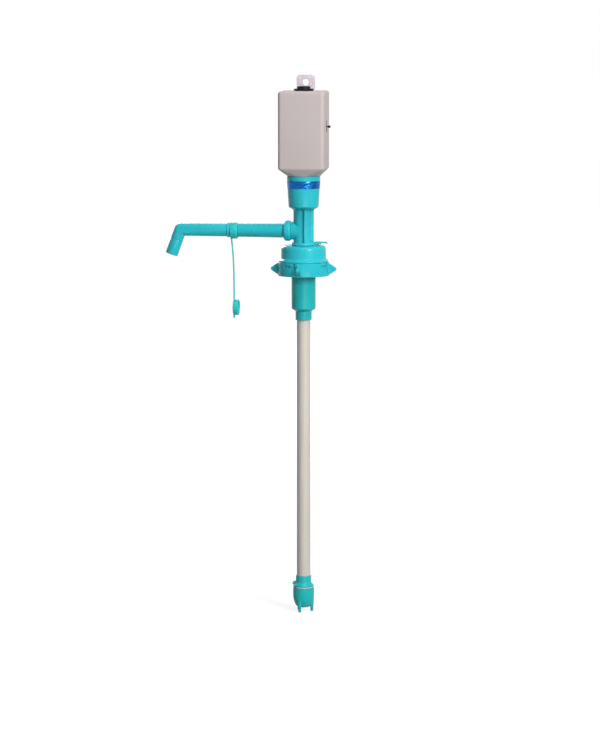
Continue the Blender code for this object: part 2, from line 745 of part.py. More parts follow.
def casing_screws(look, group):
    """Four self-tapping screws, driven from the back into the front cover's posts."""
    seat = CASE_FRONT_Y + CASE_SCREW_SEAT_FROM_FRONT + GAP
    profile = [
        (0, CASE_SCREW_HEAD_THICK),
        (CASE_SCREW_HEAD, CASE_SCREW_HEAD_THICK),
        (CASE_SCREW_HEAD, 0),
        (CASE_SCREW_SHANK, 0),
        (CASE_SCREW_SHANK, -CASE_SCREW_LENGTH),
        (0, -CASE_SCREW_LENGTH),
    ]
    for number, (x, z) in enumerate(screw_places(), 1):
        body = turned(profile, SMALL_STEPS)
        piece(f"casing_screw_{number}", body, look, group, turn=(-math.pi / 2, 0, 0), place=(x, seat, z))


def hanging_tab(look, group):
    """A flat clear tab with eased corners and a hole, held under the casing's top by a wider foot."""
    foot_top = CASE_CEILING_Z - GAP
    foot_low = foot_top - TAB_FOOT_HEIGHT
    top = CASE_TOP_Z + TAB_HEIGHT
    half = TAB_WIDTH / 2
    foot = TAB_FOOT_WIDTH / 2
    outline = [(-foot, foot_low), (foot, foot_low), (foot, foot_top), (half, foot_top)]
    outline += arc((half - TAB_CORNER, top - TAB_CORNER), TAB_CORNER, 0, math.pi / 2, 4)
    outline += arc((TAB_CORNER - half, top - TAB_CORNER), TAB_CORNER, math.pi / 2, math.pi, 4)
    outline += [(-half, foot_top), (-foot, foot_top)]
    centre_y = CASE_DEPTH / 2 - TAB_FROM_BACK
    near, far = centre_y - TAB_THICK / 2, centre_y + TAB_THICK / 2
    body = upright_prism(outline, near, far)
    tab = piece("hanging_tab", body, look, group, origin=(0, centre_y, CASE_TOP_Z))
    hole_z = top - TAB_HOLE_DROP
    length = TAB_THICK + 2 * OVERRUN
    hole = moved(rod(TAB_HOLE_RADIUS, 0, length, STEPS), along_y(0, near - OVERRUN, hole_z))
    change(tab, "hole", hole)


def button_bezel(look, group):
    """The black ring round the button, pushed into the casing's top."""
    flange_z = CASE_TOP_Z + GAP
    top = flange_z + BEZEL_THICK
    profile = [
        (BEZEL_BORE, BEZEL_NECK_Z),
        (BEZEL_NECK_RADIUS, BEZEL_NECK_Z),
        (BEZEL_NECK_RADIUS, flange_z),
        (BEZEL_RADIUS, flange_z),
        (BEZEL_RADIUS, top - BEZEL_CHAMFER),
        (BEZEL_RADIUS - BEZEL_CHAMFER, top),
        (BEZEL_BORE, top),
    ]
    piece("button_bezel", turned(profile), look, group, origin=(0, 0, CASE_TOP_Z))


def button_cap(look, group):
    """The moving button: a collar keeps it under the bezel's neck, and its stem enters the switch."""
    top = CASE_TOP_Z + GAP + BEZEL_THICK + BUTTON_PROUD
    collar_top = BEZEL_NECK_Z - GAP
    collar_low = collar_top - BUTTON_COLLAR
    collar = BUTTON_RADIUS + BUTTON_COLLAR_REACH
    inside = BUTTON_RADIUS - BUTTON_WALL
    ceiling = top - BUTTON_TOP_WALL
    stem_low = SWITCH_TOP_Z - STEM_ENGAGE
    profile = [
        (0, top),
        (BUTTON_RADIUS - BUTTON_ROUND, top),
        (BUTTON_RADIUS, top - BUTTON_ROUND),
        (BUTTON_RADIUS, collar_top),
        (collar, collar_top),
        (collar, collar_low),
        (inside, collar_low),
        (inside, ceiling),
        (BUTTON_STEM, ceiling),
        (BUTTON_STEM, stem_low),
        (0, stem_low),
    ]
    piece("button_cap", turned(profile), look, group, origin=(0, 0, CASE_TOP_Z))


def push_switch(look, group):
    """The switch under the button, with a well for the button's stem."""
    half = SWITCH_WIDTH / 2
    body = block((-half, -half, SWITCH_Z), (half, half, SWITCH_TOP_Z))
    switch = piece("push_switch", body, look, group, origin=(0, 0, SWITCH_Z))
    well = SWITCH_TOP_Z - STEM_ENGAGE - BUTTON_TRAVEL - GAP
    change(switch, "well", rod(BUTTON_STEM + GAP, well, SWITCH_TOP_Z + OVERRUN))


def slide_switch_body(look, group):
    """The slide switch: a body behind the casing's side, a face in its slot, and a channel for the knob."""
    wide = SLIDE_BODY_WIDTH / 2
    tall = SLIDE_BODY_HEIGHT / 2
    body = block((SLIDE_INNER_X, -wide, SLIDE_Z - tall), (SLIDE_OUTER_X, wide, SLIDE_Z + tall))
    switch = piece("slide_switch_body", body, look, group, origin=(SLIDE_INNER_X, 0, SLIDE_Z))
    wide = SLIDE_SLOT_WIDTH / 2 - GAP
    tall = SLIDE_SLOT_HEIGHT / 2 - GAP
    low = (SLIDE_OUTER_X - OVERRUN, -wide, SLIDE_Z - tall)
    high = (CASE_WIDTH / 2 - SLIDE_FACE_DEPTH, wide, SLIDE_Z + tall)
    change(switch, "face", block(low, high), "UNION")
    wide = SLIDE_KNOB_WIDTH / 2 + GAP
    tall = SLIDE_STEM_HEIGHT / 2 + SLIDE_TRAVEL + GAP
    low = (SLIDE_CHANNEL_X, -wide, SLIDE_Z - tall)
    high = (CASE_WIDTH / 2 + OVERRUN, wide, SLIDE_Z + tall)
    change(switch, "channel", block(low, high))


def slide_knob(look, group):
    """The knob that stands out of the side slot: a thin stem with a thicker head."""
    inner = SLIDE_CHANNEL_X + GAP
    neck = CASE_WIDTH / 2 + SLIDE_STEM_PROUD
    outer = CASE_WIDTH / 2 + SLIDE_KNOB_PROUD
    thin = SLIDE_STEM_HEIGHT / 2
    tall = SLIDE_KNOB_HEIGHT / 2
    outline = [
        (inner, SLIDE_Z - thin),
        (neck, SLIDE_Z - thin),
        (neck, SLIDE_Z - tall),
        (outer, SLIDE_Z - tall),
        (outer, SLIDE_Z + tall),
        (neck, SLIDE_Z + tall),
        (neck, SLIDE_Z + thin),
        (inner, SLIDE_Z + thin),
    ]
    body = upright_prism(outline, -SLIDE_KNOB_WIDTH / 2, SLIDE_KNOB_WIDTH / 2)
    piece("slide_knob", body, look, group, origin=(CASE_WIDTH / 2, 0, SLIDE_Z))


def battery_holder(look, group):
    """An open tray on the casing's shelf, with its mouth to the front."""
    half = HOLDER_WIDTH / 2
    body = block((-half, -half, HOLDER_Z), (half, half, HOLDER_TOP_Z))
    holder = piece("battery_holder", body, look, group, origin=(0, 0, HOLDER_Z))
    inside = HOLDER_INSIDE / 2
    low = (-inside, -half - OVERRUN, HOLDER_Z + HOLDER_END)
    high = (inside, inside, HOLDER_TOP_Z - HOLDER_END)
    change(holder, "tray", block(low, high))


def battery_cells(look, group):
    """Four cells side by side, every other one upside down."""
    edge = CELL_RADIUS - CELL_EDGE
    total = CELL_LENGTH + CELL_NUB_LENGTH
    profile = [
        (0, total),
        (CELL_NUB_RADIUS, total),
        (CELL_NUB_RADIUS, CELL_LENGTH),
        (edge, CELL_LENGTH),
        (CELL_RADIUS, CELL_LENGTH - CELL_EDGE),
        (CELL_RADIUS, CELL_EDGE),
        (edge, 0),
        (0, 0),
    ]
    sides = [(-1, -1), (1, -1), (1, 1), (-1, 1)]
    for number, (side_x, side_y) in enumerate(sides, 1):
        x, y = side_x * CELL_PITCH / 2, side_y * CELL_PITCH / 2
        body = turned(profile, SMALL_STEPS)
        upside_down = number % 2 == 0
        turn = (math.pi, 0, 0) if upside_down else (0, 0, 0)
        place = (x, y, CELL_TOP_Z if upside_down else CELL_Z)
        piece(f"battery_cell_{number}", body, look, group, turn=turn, place=place)


def contact_boards(look, group):
    """The two boards that carry the cells' contacts."""
    half = HOLDER_INSIDE / 2 - GAP
    lows = {"contact_board_low": CELL_Z - GAP - BOARD_THICK, "contact_board_high": CELL_TOP_Z + GAP}
    for name, low in lows.items():
        body = block((-half, -half, low), (half, half, low + BOARD_THICK))
        piece(name, body, look, group, origin=(0, 0, low))


def motor_mount(look, group):
    """The moulded mount: its flange sits in the casing, its skirt plugs into the column's cup."""
    bore = MOTOR_RADIUS + GAP
    skirt_bore = MOUNT_SKIRT_RADIUS - MOUNT_WALL
    nose = MOTOR_NOSE_RADIUS + GAP
    flange_top = MOUNT_FLANGE_Z + MOUNT_FLANGE_THICK
    profile = [
        (bore, flange_top),
        (MOUNT_FLANGE_RADIUS, flange_top),
        (MOUNT_FLANGE_RADIUS, MOUNT_FLANGE_Z),
        (MOUNT_SKIRT_RADIUS, MOUNT_FLANGE_Z),
        (MOUNT_SKIRT_RADIUS, MOUNT_SKIRT_Z),
        (skirt_bore, MOUNT_SKIRT_Z),
        (skirt_bore, MOUNT_UNDER_Z),
        (nose, MOUNT_UNDER_Z),
        (nose, MOUNT_FLOOR_Z),
        (bore, MOUNT_FLOOR_Z),
    ]
    mount = piece("motor_mount", turned(profile), look, group, origin=(0, 0, MOUNT_FLANGE_Z))
    low, high = MOUNT_UNDER_Z - OVERRUN, MOUNT_FLOOR_Z + OVERRUN
    holes = [rod(MOTOR_SCREW_SHANK + GAP, low, high) for _ in range(2)]
    for side, hole in zip((-1, 1), holes):
        hole.transform(Matrix.Translation((side * MOTOR_SCREW_CIRCLE, 0, 0)))
    change(mount, "screw_holes", together(holes))


def motor_screws(look, group):
    """Two small screws up through the mount's floor into the motor."""
    head_z = MOUNT_UNDER_Z - GAP
    profile = [
        (0, MOTOR_SCREW_LENGTH),
        (MOTOR_SCREW_SHANK, MOTOR_SCREW_LENGTH),
        (MOTOR_SCREW_SHANK, 0),
        (MOTOR_SCREW_HEAD, 0),
        (MOTOR_SCREW_HEAD, -MOTOR_SCREW_HEAD_THICK),
        (0, -MOTOR_SCREW_HEAD_THICK),
    ]
    for number, side in enumerate((-1, 1), 1):
        place = (side * MOTOR_SCREW_CIRCLE, 0, head_z)
        body = turned(profile, SMALL_STEPS)
        piece(f"motor_screw_{number}", body, look, group, turn=(0, 0, 0), place=place)


def motor_can(look, group):
    """The motor's drawn steel can, with a nose for the front bearing."""
    inside = MOTOR_RADIUS - MOTOR_CAN_WALL
    nose_z = CAN_Z - MOTOR_NOSE_LENGTH
    floor_z = CAN_Z + MOTOR_CAN_FLOOR
    profile = [
        (inside, CAN_TOP_Z),
        (MOTOR_RADIUS, CAN_TOP_Z),
        (MOTOR_RADIUS, CAN_Z),
        (MOTOR_NOSE_RADIUS, CAN_Z),
        (MOTOR_NOSE_RADIUS, nose_z),
        (MOTOR_SHAFT_BORE, nose_z),
        (MOTOR_SHAFT_BORE, floor_z),
        (inside, floor_z),
    ]
    can = piece("motor_can", turned(profile), look, group, origin=(0, 0, CAN_Z))
    holes = [rod(MOTOR_SCREW_SHANK + GAP, CAN_Z - OVERRUN, floor_z + OVERRUN) for _ in range(2)]
    for side, hole in zip((-1, 1), holes):
        hole.transform(Matrix.Translation((side * MOTOR_SCREW_CIRCLE, 0, 0)))
    change(can, "screw_holes", together(holes))


def motor_end_cap(look, group):
    """The plastic end of the motor, with the rear bearing."""
    low = CAN_TOP_Z + GAP
    high = low + END_CAP_THICK
    profile = [(MOTOR_SHAFT_BORE, high), (MOTOR_RADIUS, high), (MOTOR_RADIUS, low), (MOTOR_SHAFT_BORE, low)]
    piece("motor_end_cap", turned(profile), look, group, origin=(0, 0, low))


def motor_magnet(look, group):
    """The ring magnet inside the can."""
    outer = MOTOR_RADIUS - MOTOR_CAN_WALL - GAP
    inner = outer - MAGNET_THICK
    low = CAN_Z + MOTOR_CAN_FLOOR + MAGNET_ABOVE_FLOOR
    high = low + MAGNET_LENGTH
    profile = [(inner, high), (outer, high), (outer, low), (inner, low)]
    piece("motor_magnet", turned(profile), look, group, origin=(0, 0, low))


def motor_armature(look, group):
    """The wound core and its commutator, on the motor's shaft."""
    outer = MOTOR_RADIUS - MOTOR_CAN_WALL - GAP - MAGNET_THICK - AIR_GAP
    low = CAN_Z + MOTOR_CAN_FLOOR + MAGNET_ABOVE_FLOOR + (MAGNET_LENGTH - ARMATURE_LENGTH) / 2
    high = low + ARMATURE_LENGTH
    top = high + COMMUTATOR_LENGTH
    profile = [
        (MOTOR_SHAFT_BORE, top),
        (COMMUTATOR_RADIUS, top),
        (COMMUTATOR_RADIUS, high),
        (outer, high),
        (outer, low),
        (MOTOR_SHAFT_BORE, low),
    ]
    piece("motor_armature", turned(profile, STRAINER_STEPS), look, group, origin=(0, 0, low))


def motor_shaft(look, group):
    low = COUPLING_WEB_Z + COUPLING_WEB + GAP
    high = CAN_TOP_Z + GAP + END_CAP_THICK
    piece("motor_shaft", rod(MOTOR_SHAFT_RADIUS, low, high), look, group, origin=(0, 0, low))


def shaft_coupling(look, group):
    """The sleeve that joins the motor's shaft to the long one, with a web between its two bores."""
    web_top = COUPLING_WEB_Z + COUPLING_WEB
    profile = [
        (0, web_top),
        (MOTOR_SHAFT_BORE, web_top),
        (MOTOR_SHAFT_BORE, COUPLING_TOP_Z),
        (COUPLING_RADIUS, COUPLING_TOP_Z),
        (COUPLING_RADIUS, COUPLING_Z),
        (SHAFT_BORE, COUPLING_Z),
        (SHAFT_BORE, COUPLING_WEB_Z),
        (0, COUPLING_WEB_Z),
    ]
    piece("shaft_coupling", turned(profile, SMALL_STEPS), look, group, origin=(0, 0, COUPLING_Z))


def drive_shaft(look, group):
    """The long steel shaft, from the coupling down to its bearing in the strainer."""
    body = rod(SHAFT_RADIUS, SHAFT_Z, COUPLING_WEB_Z - GAP)
    piece("drive_shaft", body, look, group, origin=(0, 0, SHAFT_Z))


def impeller(look, group):
    """Straight blades on a hub, under the foot collar's spigot."""
    high = FOOT_SPIGOT_Z - IMPELLER_BELOW_SPIGOT
    low = high - IMPELLER_HEIGHT
    body = prism(spokes(IMPELLER_HUB, IMPELLER_RADIUS, IMPELLER_BLADE, IMPELLER_BLADES), low, high)
    wheel = piece("impeller", body, look, group, origin=(0, 0, low))
    change(wheel, "bore", rod(SHAFT_BORE, low - OVERRUN, high + OVERRUN))


def cup_radius(height):
    """The cup's outer radius at a height."""
    return CUP_TOP_RADIUS - (CUP_TOP_Z - height) * CUP_SLOPE


def half_round(radius, height):
    """One level of the column's half-round side: a half circle towards the spout, closed by a flat face."""
    outline = arc((-HALF_ROUND_OFFSET, 0), radius, math.pi / 2, 3 * math.pi / 2, HALF_ROUND_STEPS)
    return [(x, y, height) for x, y in outline]


def pump_column(look, group):
    """Cup, ribbed column, outlet boss, base flange and lower spigot, moulded in one."""
    band_top = CUP_TOP_Z - BAND_BELOW_LIP + GAP
    band_low = CUP_TOP_Z - BAND_BELOW_LIP - BAND_HEIGHT - GAP
    outside = [
        (0, CUP_TOP_Z),
        (CUP_TOP_RADIUS, CUP_TOP_Z),
        (cup_radius(band_top), band_top),
        (cup_radius(band_top) - BAND_GROOVE, band_top),
        (cup_radius(band_low) - BAND_GROOVE, band_low),
        (cup_radius(band_low), band_low),
        (CUP_BOTTOM_RADIUS, CUP_Z + CUP_CHAMFER),
        (CUP_BOTTOM_RADIUS - CUP_CHAMFER, CUP_Z),
        (COLUMN_RADIUS, CUP_Z),
        (COLUMN_RADIUS, BASE_TOP_Z),
        (BASE_RADIUS - BASE_STEP, BASE_TOP_Z),
        (BASE_RADIUS - BASE_STEP, BASE_STEP_Z),
        (BASE_RADIUS, BASE_STEP_Z),
        (BASE_RADIUS, BASE_Z),
        (SPIGOT_RADIUS, BASE_Z),
        (SPIGOT_RADIUS, SPIGOT_Z),
        (0, SPIGOT_Z),
    ]
    column = piece("pump_column", turned(outside, LARGE_STEPS), look, group, origin=(0, 0, BASE_Z))
    levels = [
        (BASE_TOP_Z - RIB_EMBED, 0),
        (CUP_Z - RIB_FLARE_HEIGHT, 0),
        (CUP_Z, RIB_FLARE),
        (CUP_Z + RIB_EMBED, RIB_FLARE),
    ]
    rings = []
    for height, flare in levels:
        cross = spokes(COLUMN_RADIUS / 2, RIB_RADIUS + flare, RIB_THICK, 4, 1)
        rings.append([(x, y, height) for x, y in cross])
    ribs = moved(skin(rings), Matrix.Rotation(RIB_TURN, 4, "Z"))
    change(column, "ribs", ribs, "UNION")
    half = skin([half_round(HALF_ROUND_RADIUS + flare, height) for height, flare in levels])
    change(column, "half_round", half, "UNION")
    boss = [
        (0, BOSS_REACH + NIPPLE_LENGTH),
        (NIPPLE_RADIUS, BOSS_REACH + NIPPLE_LENGTH),
        (NIPPLE_RADIUS, BOSS_REACH),
        (BOSS_RADIUS, BOSS_REACH),
        (BOSS_RADIUS, BOSS_ROOT),
        (0, BOSS_ROOT),
    ]
    change(column, "outlet_boss", turned(boss), "UNION", turn=TO_SPOUT, place=(0, 0, OUTLET_Z))
    ear_start = FLAP_WIDTH / 2 + GAP
    ear_end = ear_start + EAR_THICK
    ears = []
    for near, far in ((-ear_end, -ear_start), (ear_start, ear_end)):
        low = (SPIGOT_RADIUS, near, BASE_Z)
        high = (VENT_PIN_REACH + EAR_REACH, far, BASE_TOP_Z + EAR_RISE)
        ears.append(block(low, high))
    change(column, "flap_ears", together(ears), "UNION")
    notch_x = VENT_PIN_REACH - KNUCKLE_RADIUS - GAP
    low = (notch_x, -ear_start, BASE_Z - OVERRUN)
    high = (VENT_PIN_REACH + EAR_REACH, ear_start, BASE_TOP_Z + OVERRUN)
    change(column, "flap_notch", block(low, high))
    pin_length = 2 * (ear_end + OVERRUN)
    pin_hole = moved(
        rod(VENT_PIN_RADIUS + GAP, 0, pin_length), along_y(VENT_PIN_REACH, -pin_length / 2, VENT_PIN_Z)
    )
    change(column, "pin_hole", pin_hole)
    shoulder_z = MOUNT_SKIRT_Z - GAP
    shoulder = cup_radius(shoulder_z) - CUP_WALL
    bush_z = CUP_FLOOR_Z - BUSH_DEPTH
    seal_top = bush_z - WEB_THICK
    seal_low = seal_top - SEAL_HEIGHT - 3 * GAP
    bush_hole = SHAFT_RADIUS + BUSH_WALL + GAP
    seal_hole = SHAFT_RADIUS + SEAL_WALL + GAP
    web_hole = SHAFT_RADIUS + WEB_HOLE_CLEARANCE
    inside = [
        (0, CUP_TOP_Z + OVERRUN),
        (CUP_TOP_RADIUS - CUP_WALL, CUP_TOP_Z + OVERRUN),
        (CUP_TOP_RADIUS - CUP_WALL, shoulder_z),
        (shoulder, shoulder_z),
        (cup_radius(CUP_FLOOR_Z) - CUP_WALL, CUP_FLOOR_Z),
        (bush_hole, CUP_FLOOR_Z),
        (bush_hole, bush_z),
        (web_hole, bush_z),
        (web_hole, seal_top),
        (seal_hole, seal_top),
        (seal_hole, seal_low),
        (COLUMN_BORE, seal_low),
        (COLUMN_BORE, BASE_Z),
        (SPIGOT_RADIUS - SPIGOT_WALL, BASE_Z),
        (SPIGOT_RADIUS - SPIGOT_WALL, SPIGOT_Z - OVERRUN),
        (0, SPIGOT_Z - OVERRUN),
    ]
    change(column, "bore", turned(inside, LARGE_STEPS))
    outlet = rod(OUTLET_BORE, 0, BOSS_REACH + NIPPLE_LENGTH + OVERRUN, STEPS)
    change(column, "outlet_bore", outlet, turn=TO_SPOUT, place=(0, 0, OUTLET_Z))


def sealing_band(look, group):
    """A foil band round the cup, in a shallow groove."""
    high = CUP_TOP_Z - BAND_BELOW_LIP
    low = high - BAND_HEIGHT
    inner_high = cup_radius(high) - BAND_GROOVE + GAP
    inner_low = cup_radius(low) - BAND_GROOVE + GAP
    profile = [
        (inner_high, high),
        (inner_high + BAND_THICK, high),
        (inner_low + BAND_THICK, low),
        (inner_low, low),
    ]
    piece("sealing_band", turned(profile, LARGE_STEPS), look, group, origin=(0, 0, low))


def upper_bush(look, group):
    """The flanged bush in the cup's floor that guides the shaft."""
    low = CUP_FLOOR_Z - BUSH_DEPTH + GAP
    flange_z = CUP_FLOOR_Z + GAP
    outer = SHAFT_RADIUS + BUSH_WALL
    profile = [
        (SHAFT_BORE, UPPER_BUSH_TOP_Z),
        (BUSH_FLANGE_RADIUS, UPPER_BUSH_TOP_Z),
        (BUSH_FLANGE_RADIUS, flange_z),
        (outer, flange_z),
        (outer, low),
        (SHAFT_BORE, low),
    ]
    piece("upper_bush", turned(profile, SMALL_STEPS), look, group, origin=(0, 0, low))


def shaft_seal(look, group):
    """The seal that keeps the water below the cup."""
    high = CUP_FLOOR_Z - BUSH_DEPTH - WEB_THICK - GAP
    low = high - SEAL_HEIGHT
    outer = SHAFT_RADIUS + SEAL_WALL
    profile = [(SHAFT_BORE, high), (outer, high), (outer, low), (SHAFT_BORE, low)]
    piece("shaft_seal", turned(profile, SMALL_STEPS), look, group, origin=(0, 0, low))


def spout_nut(look, group):
    """The union nut that draws the arm's flange onto the outlet."""
    end = NUT_START + NUT_LENGTH
    thread = NIPPLE_RADIUS + GAP
    hole = ARM_ROOT_RADIUS + GAP
    profile = [
        (thread, NUT_START),
        (NUT_RADIUS - NUT_CHAMFER, NUT_START),
        (NUT_RADIUS, NUT_START + NUT_CHAMFER),
        (NUT_RADIUS, end - NUT_CHAMFER),
        (NUT_RADIUS - NUT_CHAMFER, end),
        (hole, end),
        (hole, end - NUT_LIP),
        (thread, end - NUT_LIP),
    ]
    piece("spout_nut", turned(profile, LARGE_STEPS), look, group, turn=TO_SPOUT, place=(0, 0, OUTLET_Z))


def outlet_seal(look, group):
    """The flat seal between the outlet's nipple and the arm's flange."""
    outer = NIPPLE_RADIUS - OUTLET_SEAL_INSET
    inner = OUTLET_BORE + OUTLET_SEAL_INSET
    end = SEAL_START + OUTLET_SEAL_THICK
    profile = [(inner, end), (outer, end), (outer, SEAL_START), (inner, SEAL_START)]
    piece("outlet_seal", turned(profile), look, group, turn=TO_SPOUT, place=(0, 0, OUTLET_Z))


def spout_arm(look, group):
    """The arm: a flange in the nut, a tapered tube, a journal for the tether ring and a spigot."""
    flange_end = ARM_START + ARM_FLANGE_THICK
    spigot_end = ELBOW_START + ARM_SPIGOT_LENGTH
    groove = ELBOW_START + O_RING_FROM_SHOULDER
    groove_end = groove + O_RING_THICK + 2 * GAP
    groove_radius = ARM_SPIGOT_RADIUS - O_RING_GROOVE
    step_in = ELBOW_START - ARM_FLANGE_THICK
    profile = [
        (OUTLET_BORE, ARM_START),
        (NIPPLE_RADIUS, ARM_START),
        (NIPPLE_RADIUS, flange_end),
        (ARM_ROOT_RADIUS, flange_end),
        (ARM_END_RADIUS, ARM_END),
        (JOURNAL_RADIUS, ARM_END),
        (JOURNAL_RADIUS, ELBOW_START - GAP),
        (ARM_SPIGOT_RADIUS, ELBOW_START - GAP),
        (ARM_SPIGOT_RADIUS, groove),
        (groove_radius, groove),
        (groove_radius, groove_end),
        (ARM_SPIGOT_RADIUS, groove_end),
        (ARM_SPIGOT_RADIUS, spigot_end),
        (ARM_SPIGOT_BORE, spigot_end),
        (ARM_SPIGOT_BORE, step_in),
        (OUTLET_BORE, step_in),
    ]
    piece("spout_arm", turned(profile), look, group, turn=TO_SPOUT, place=(0, 0, OUTLET_Z))


def elbow_o_ring(look, group):
    """The ring in the arm's groove that seals the elbow and holds it by friction."""
    start = ELBOW_START + O_RING_FROM_SHOULDER + GAP
    end = start + O_RING_THICK
    inner = ARM_SPIGOT_RADIUS - O_RING_GROOVE + GAP
    outer = ELBOW_BORE - GAP
    profile = [(inner, end), (outer, end), (outer, start), (inner, start)]
    piece("elbow_o_ring", turned(profile), look, group, turn=TO_SPOUT, place=(0, 0, OUTLET_Z))


def mitred(stations, corner_cut):
    """A bent round bar in the XZ plane, mitred at the bend, with the bend's outer corner cut flat.

    A station is (distance along -X from the axis, radius) before the bend, and None marks the bend, whose
    radius follows. After it a station is (distance along the nozzle, radius).
    """
    bend = Vector((-ELBOW_BEND, 0, OUTLET_Z))
    before = Vector((-1, 0, 0))
    after = Vector((-math.cos(ELBOW_FALL), 0, -math.sin(ELBOW_FALL)))
    mitre = (before + after).normalized()
    rings = []
    passed = False
    for distance, radius in stations:
        along = after if passed else before
        level = along
        if distance is None:
            centre, level, passed = bend, mitre, True
        elif passed:
            centre = bend + after * distance
        else:
            centre = Vector((-distance, 0, OUTLET_Z))
        upright = along.cross(Vector((0, 1, 0)))
        ring = []
        for step in range(STEPS):
            angle = math.tau * step / STEPS
            spread = (Vector((0, 1, 0)) * math.cos(angle) + upright * math.sin(angle)) * radius
            ring.append(centre + spread - along * (spread.dot(level) / along.dot(level)))
        rings.append(ring)
    bm = bmesh.new()
    bm.from_mesh(skin(rings))
    outward = (before - after).normalized()
    geometry = bm.verts[:] + bm.edges[:] + bm.faces[:]
    sliced = bmesh.ops.bisect_plane(
        bm,
        geom=geometry,
        dist=WELD,
        plane_co=bend + outward * corner_cut,
        plane_no=outward,
        clear_outer=True,
    )
    rim = [item for item in sliced["geom_cut"] if isinstance(item, bmesh.types.BMEdge)]
    bmesh.ops.holes_fill(bm, edges=rim)
    return mesh_of(bm)


def spout_elbow(look, group):
    """The elbow: a flange, a tube with a mitred bend, and a short spigot for the nozzle tip."""
    half_turn = ELBOW_FALL / 2
    corner = NOZZLE_RADIUS / math.cos(half_turn) - ELBOW_CORNER_CUT
    flange_end = ELBOW_START + ELBOW_FLANGE_THICK
    spigot_end = ELBOW_NECK + NOZZLE_SPIGOT
    bore = ELBOW_BORE
    bar = mitred(
        [
            (ELBOW_START, ELBOW_FLANGE_RADIUS),
            (flange_end, ELBOW_FLANGE_RADIUS),
            (flange_end, ELBOW_RADIUS),
            (None, NOZZLE_RADIUS),
            (ELBOW_NECK, NOZZLE_RADIUS),
            (ELBOW_NECK, bore - GAP),
            (spigot_end, bore - GAP),
        ],
        corner,
    )
    elbow = piece("spout_elbow", bar, look, group, origin=(-ELBOW_BEND, 0, OUTLET_Z))
    step_in = ELBOW_NECK - ELBOW_CORNER_WALL
    hollow = mitred(
        [
            (ELBOW_START - OVERRUN, bore),
            (None, bore),
            (step_in, bore),
            (step_in, NOZZLE_SPIGOT_BORE),
            (spigot_end + OVERRUN, NOZZLE_SPIGOT_BORE),
        ],
        corner - ELBOW_CORNER_WALL,
    )
    change(elbow, "bore", hollow)


def nozzle_tip(look, group):
    """The sleeve on the elbow's end, turned about the nozzle's own axis."""
    start = ELBOW_NECK + GAP
    edge = NOZZLE_RADIUS - NOZZLE_EDGE
    profile = [
        (ELBOW_BORE, start),
        (NOZZLE_RADIUS, start),
        (NOZZLE_RADIUS, NOZZLE_LENGTH - NOZZLE_EDGE),
        (edge, NOZZLE_LENGTH),
        (ELBOW_BORE, NOZZLE_LENGTH),
    ]
    turn = (0, -math.pi / 2 - ELBOW_FALL, 0)
    piece("nozzle_tip", turned(profile), look, group, turn=turn, place=(-ELBOW_BEND, 0, OUTLET_Z))


def tether_ring(look, group):
    """The loose ring on the arm's journal that carries the strap."""
    start = SWIVEL_START
    end = start + RING_LENGTH
    inner = RING_RADIUS - RING_WALL
    profile = [
        (inner, start),
        (RING_RADIUS - RING_CHAMFER, start),
        (RING_RADIUS, start + RING_CHAMFER),
        (RING_RADIUS, end),
        (inner, end),
    ]
    piece("tether_ring", turned(profile), look, group, turn=TO_SPOUT, place=(0, 0, TETHER_Z))


def strap_x():
    """The strap's centre line, in its place along the spout, at its lower end."""
    return -(SWIVEL_START + RING_LENGTH - STRAP_THICK / 2 - STRAP_LEAN)


def tether_strap(look, group):
    """The thin flat strap, which hangs from the ring and leans away from it on a cubic curve."""
    rights, lefts = [], []
    for step in range(STRAP_STEPS + 1):
        share = step / STRAP_STEPS
        height = STRAP_TOP_Z - STRAP_LENGTH * (1 - share)
        centre = strap_x() - STRAP_LEAN * share**3
        rights.append((centre + STRAP_THICK / 2, height))
        lefts.append((centre - STRAP_THICK / 2, height))
    outline = rights + lefts[::-1]
    body = upright_prism(outline, -STRAP_WIDTH / 2, STRAP_WIDTH / 2)
    piece("tether_strap", body, look, group, origin=(strap_x(), 0, STRAP_TOP_Z))


def dust_cap(look, group):
    """The cap that closes the nozzle: a cup on its side, with a pull tab."""
    inner = NOZZLE_RADIUS + GAP
    mouth = DUST_CAP_PLATE + DUST_CAP_DEPTH
    profile = [
        (0, 0),
        (DUST_CAP_RADIUS, 0),
        (DUST_CAP_RADIUS, mouth),
        (inner, mouth),
        (inner, DUST_CAP_PLATE),
        (0, DUST_CAP_PLATE),
    ]
    back = strap_x() - STRAP_THICK / 2
    place = (back, 0, DUST_CAP_Z)
    cap = piece("dust_cap", turned(profile), look, group, turn=(0, math.pi / 2, 0), place=place)
    wide = PULL_TAB_WIDTH / 2
    low = (back, -wide, DUST_CAP_Z - DUST_CAP_RADIUS - PULL_TAB_LENGTH)
    high = (back + DUST_CAP_PLATE, wide, DUST_CAP_Z - inner)
    change(cap, "pull_tab", block(low, high), "UNION")


def neck_gasket(look, group):
    """The flat gasket between the bottle's mouth and the cap."""
    outer = CAP_BORE - GAP
    inner = outer - GASKET_WIDTH
    profile = [(inner, GASKET_THICK), (outer, GASKET_THICK), (outer, 0), (inner, 0)]
    piece("neck_gasket", turned(profile, LARGE_STEPS), look, group)


def slot_angle(distance):
    """The angle of a point on the clamp ring, at a distance round it from a wing's middle."""
    return RING_TURN - distance / CLAMP_RADIUS


def quarters(start, end, make):
    """The same ring piece beside each wing."""
    turns = [math.tau * index / WING_COUNT for index in range(WING_COUNT)]
    return together([make(slot_angle(start) + turn, slot_angle(end) + turn) for turn in turns])


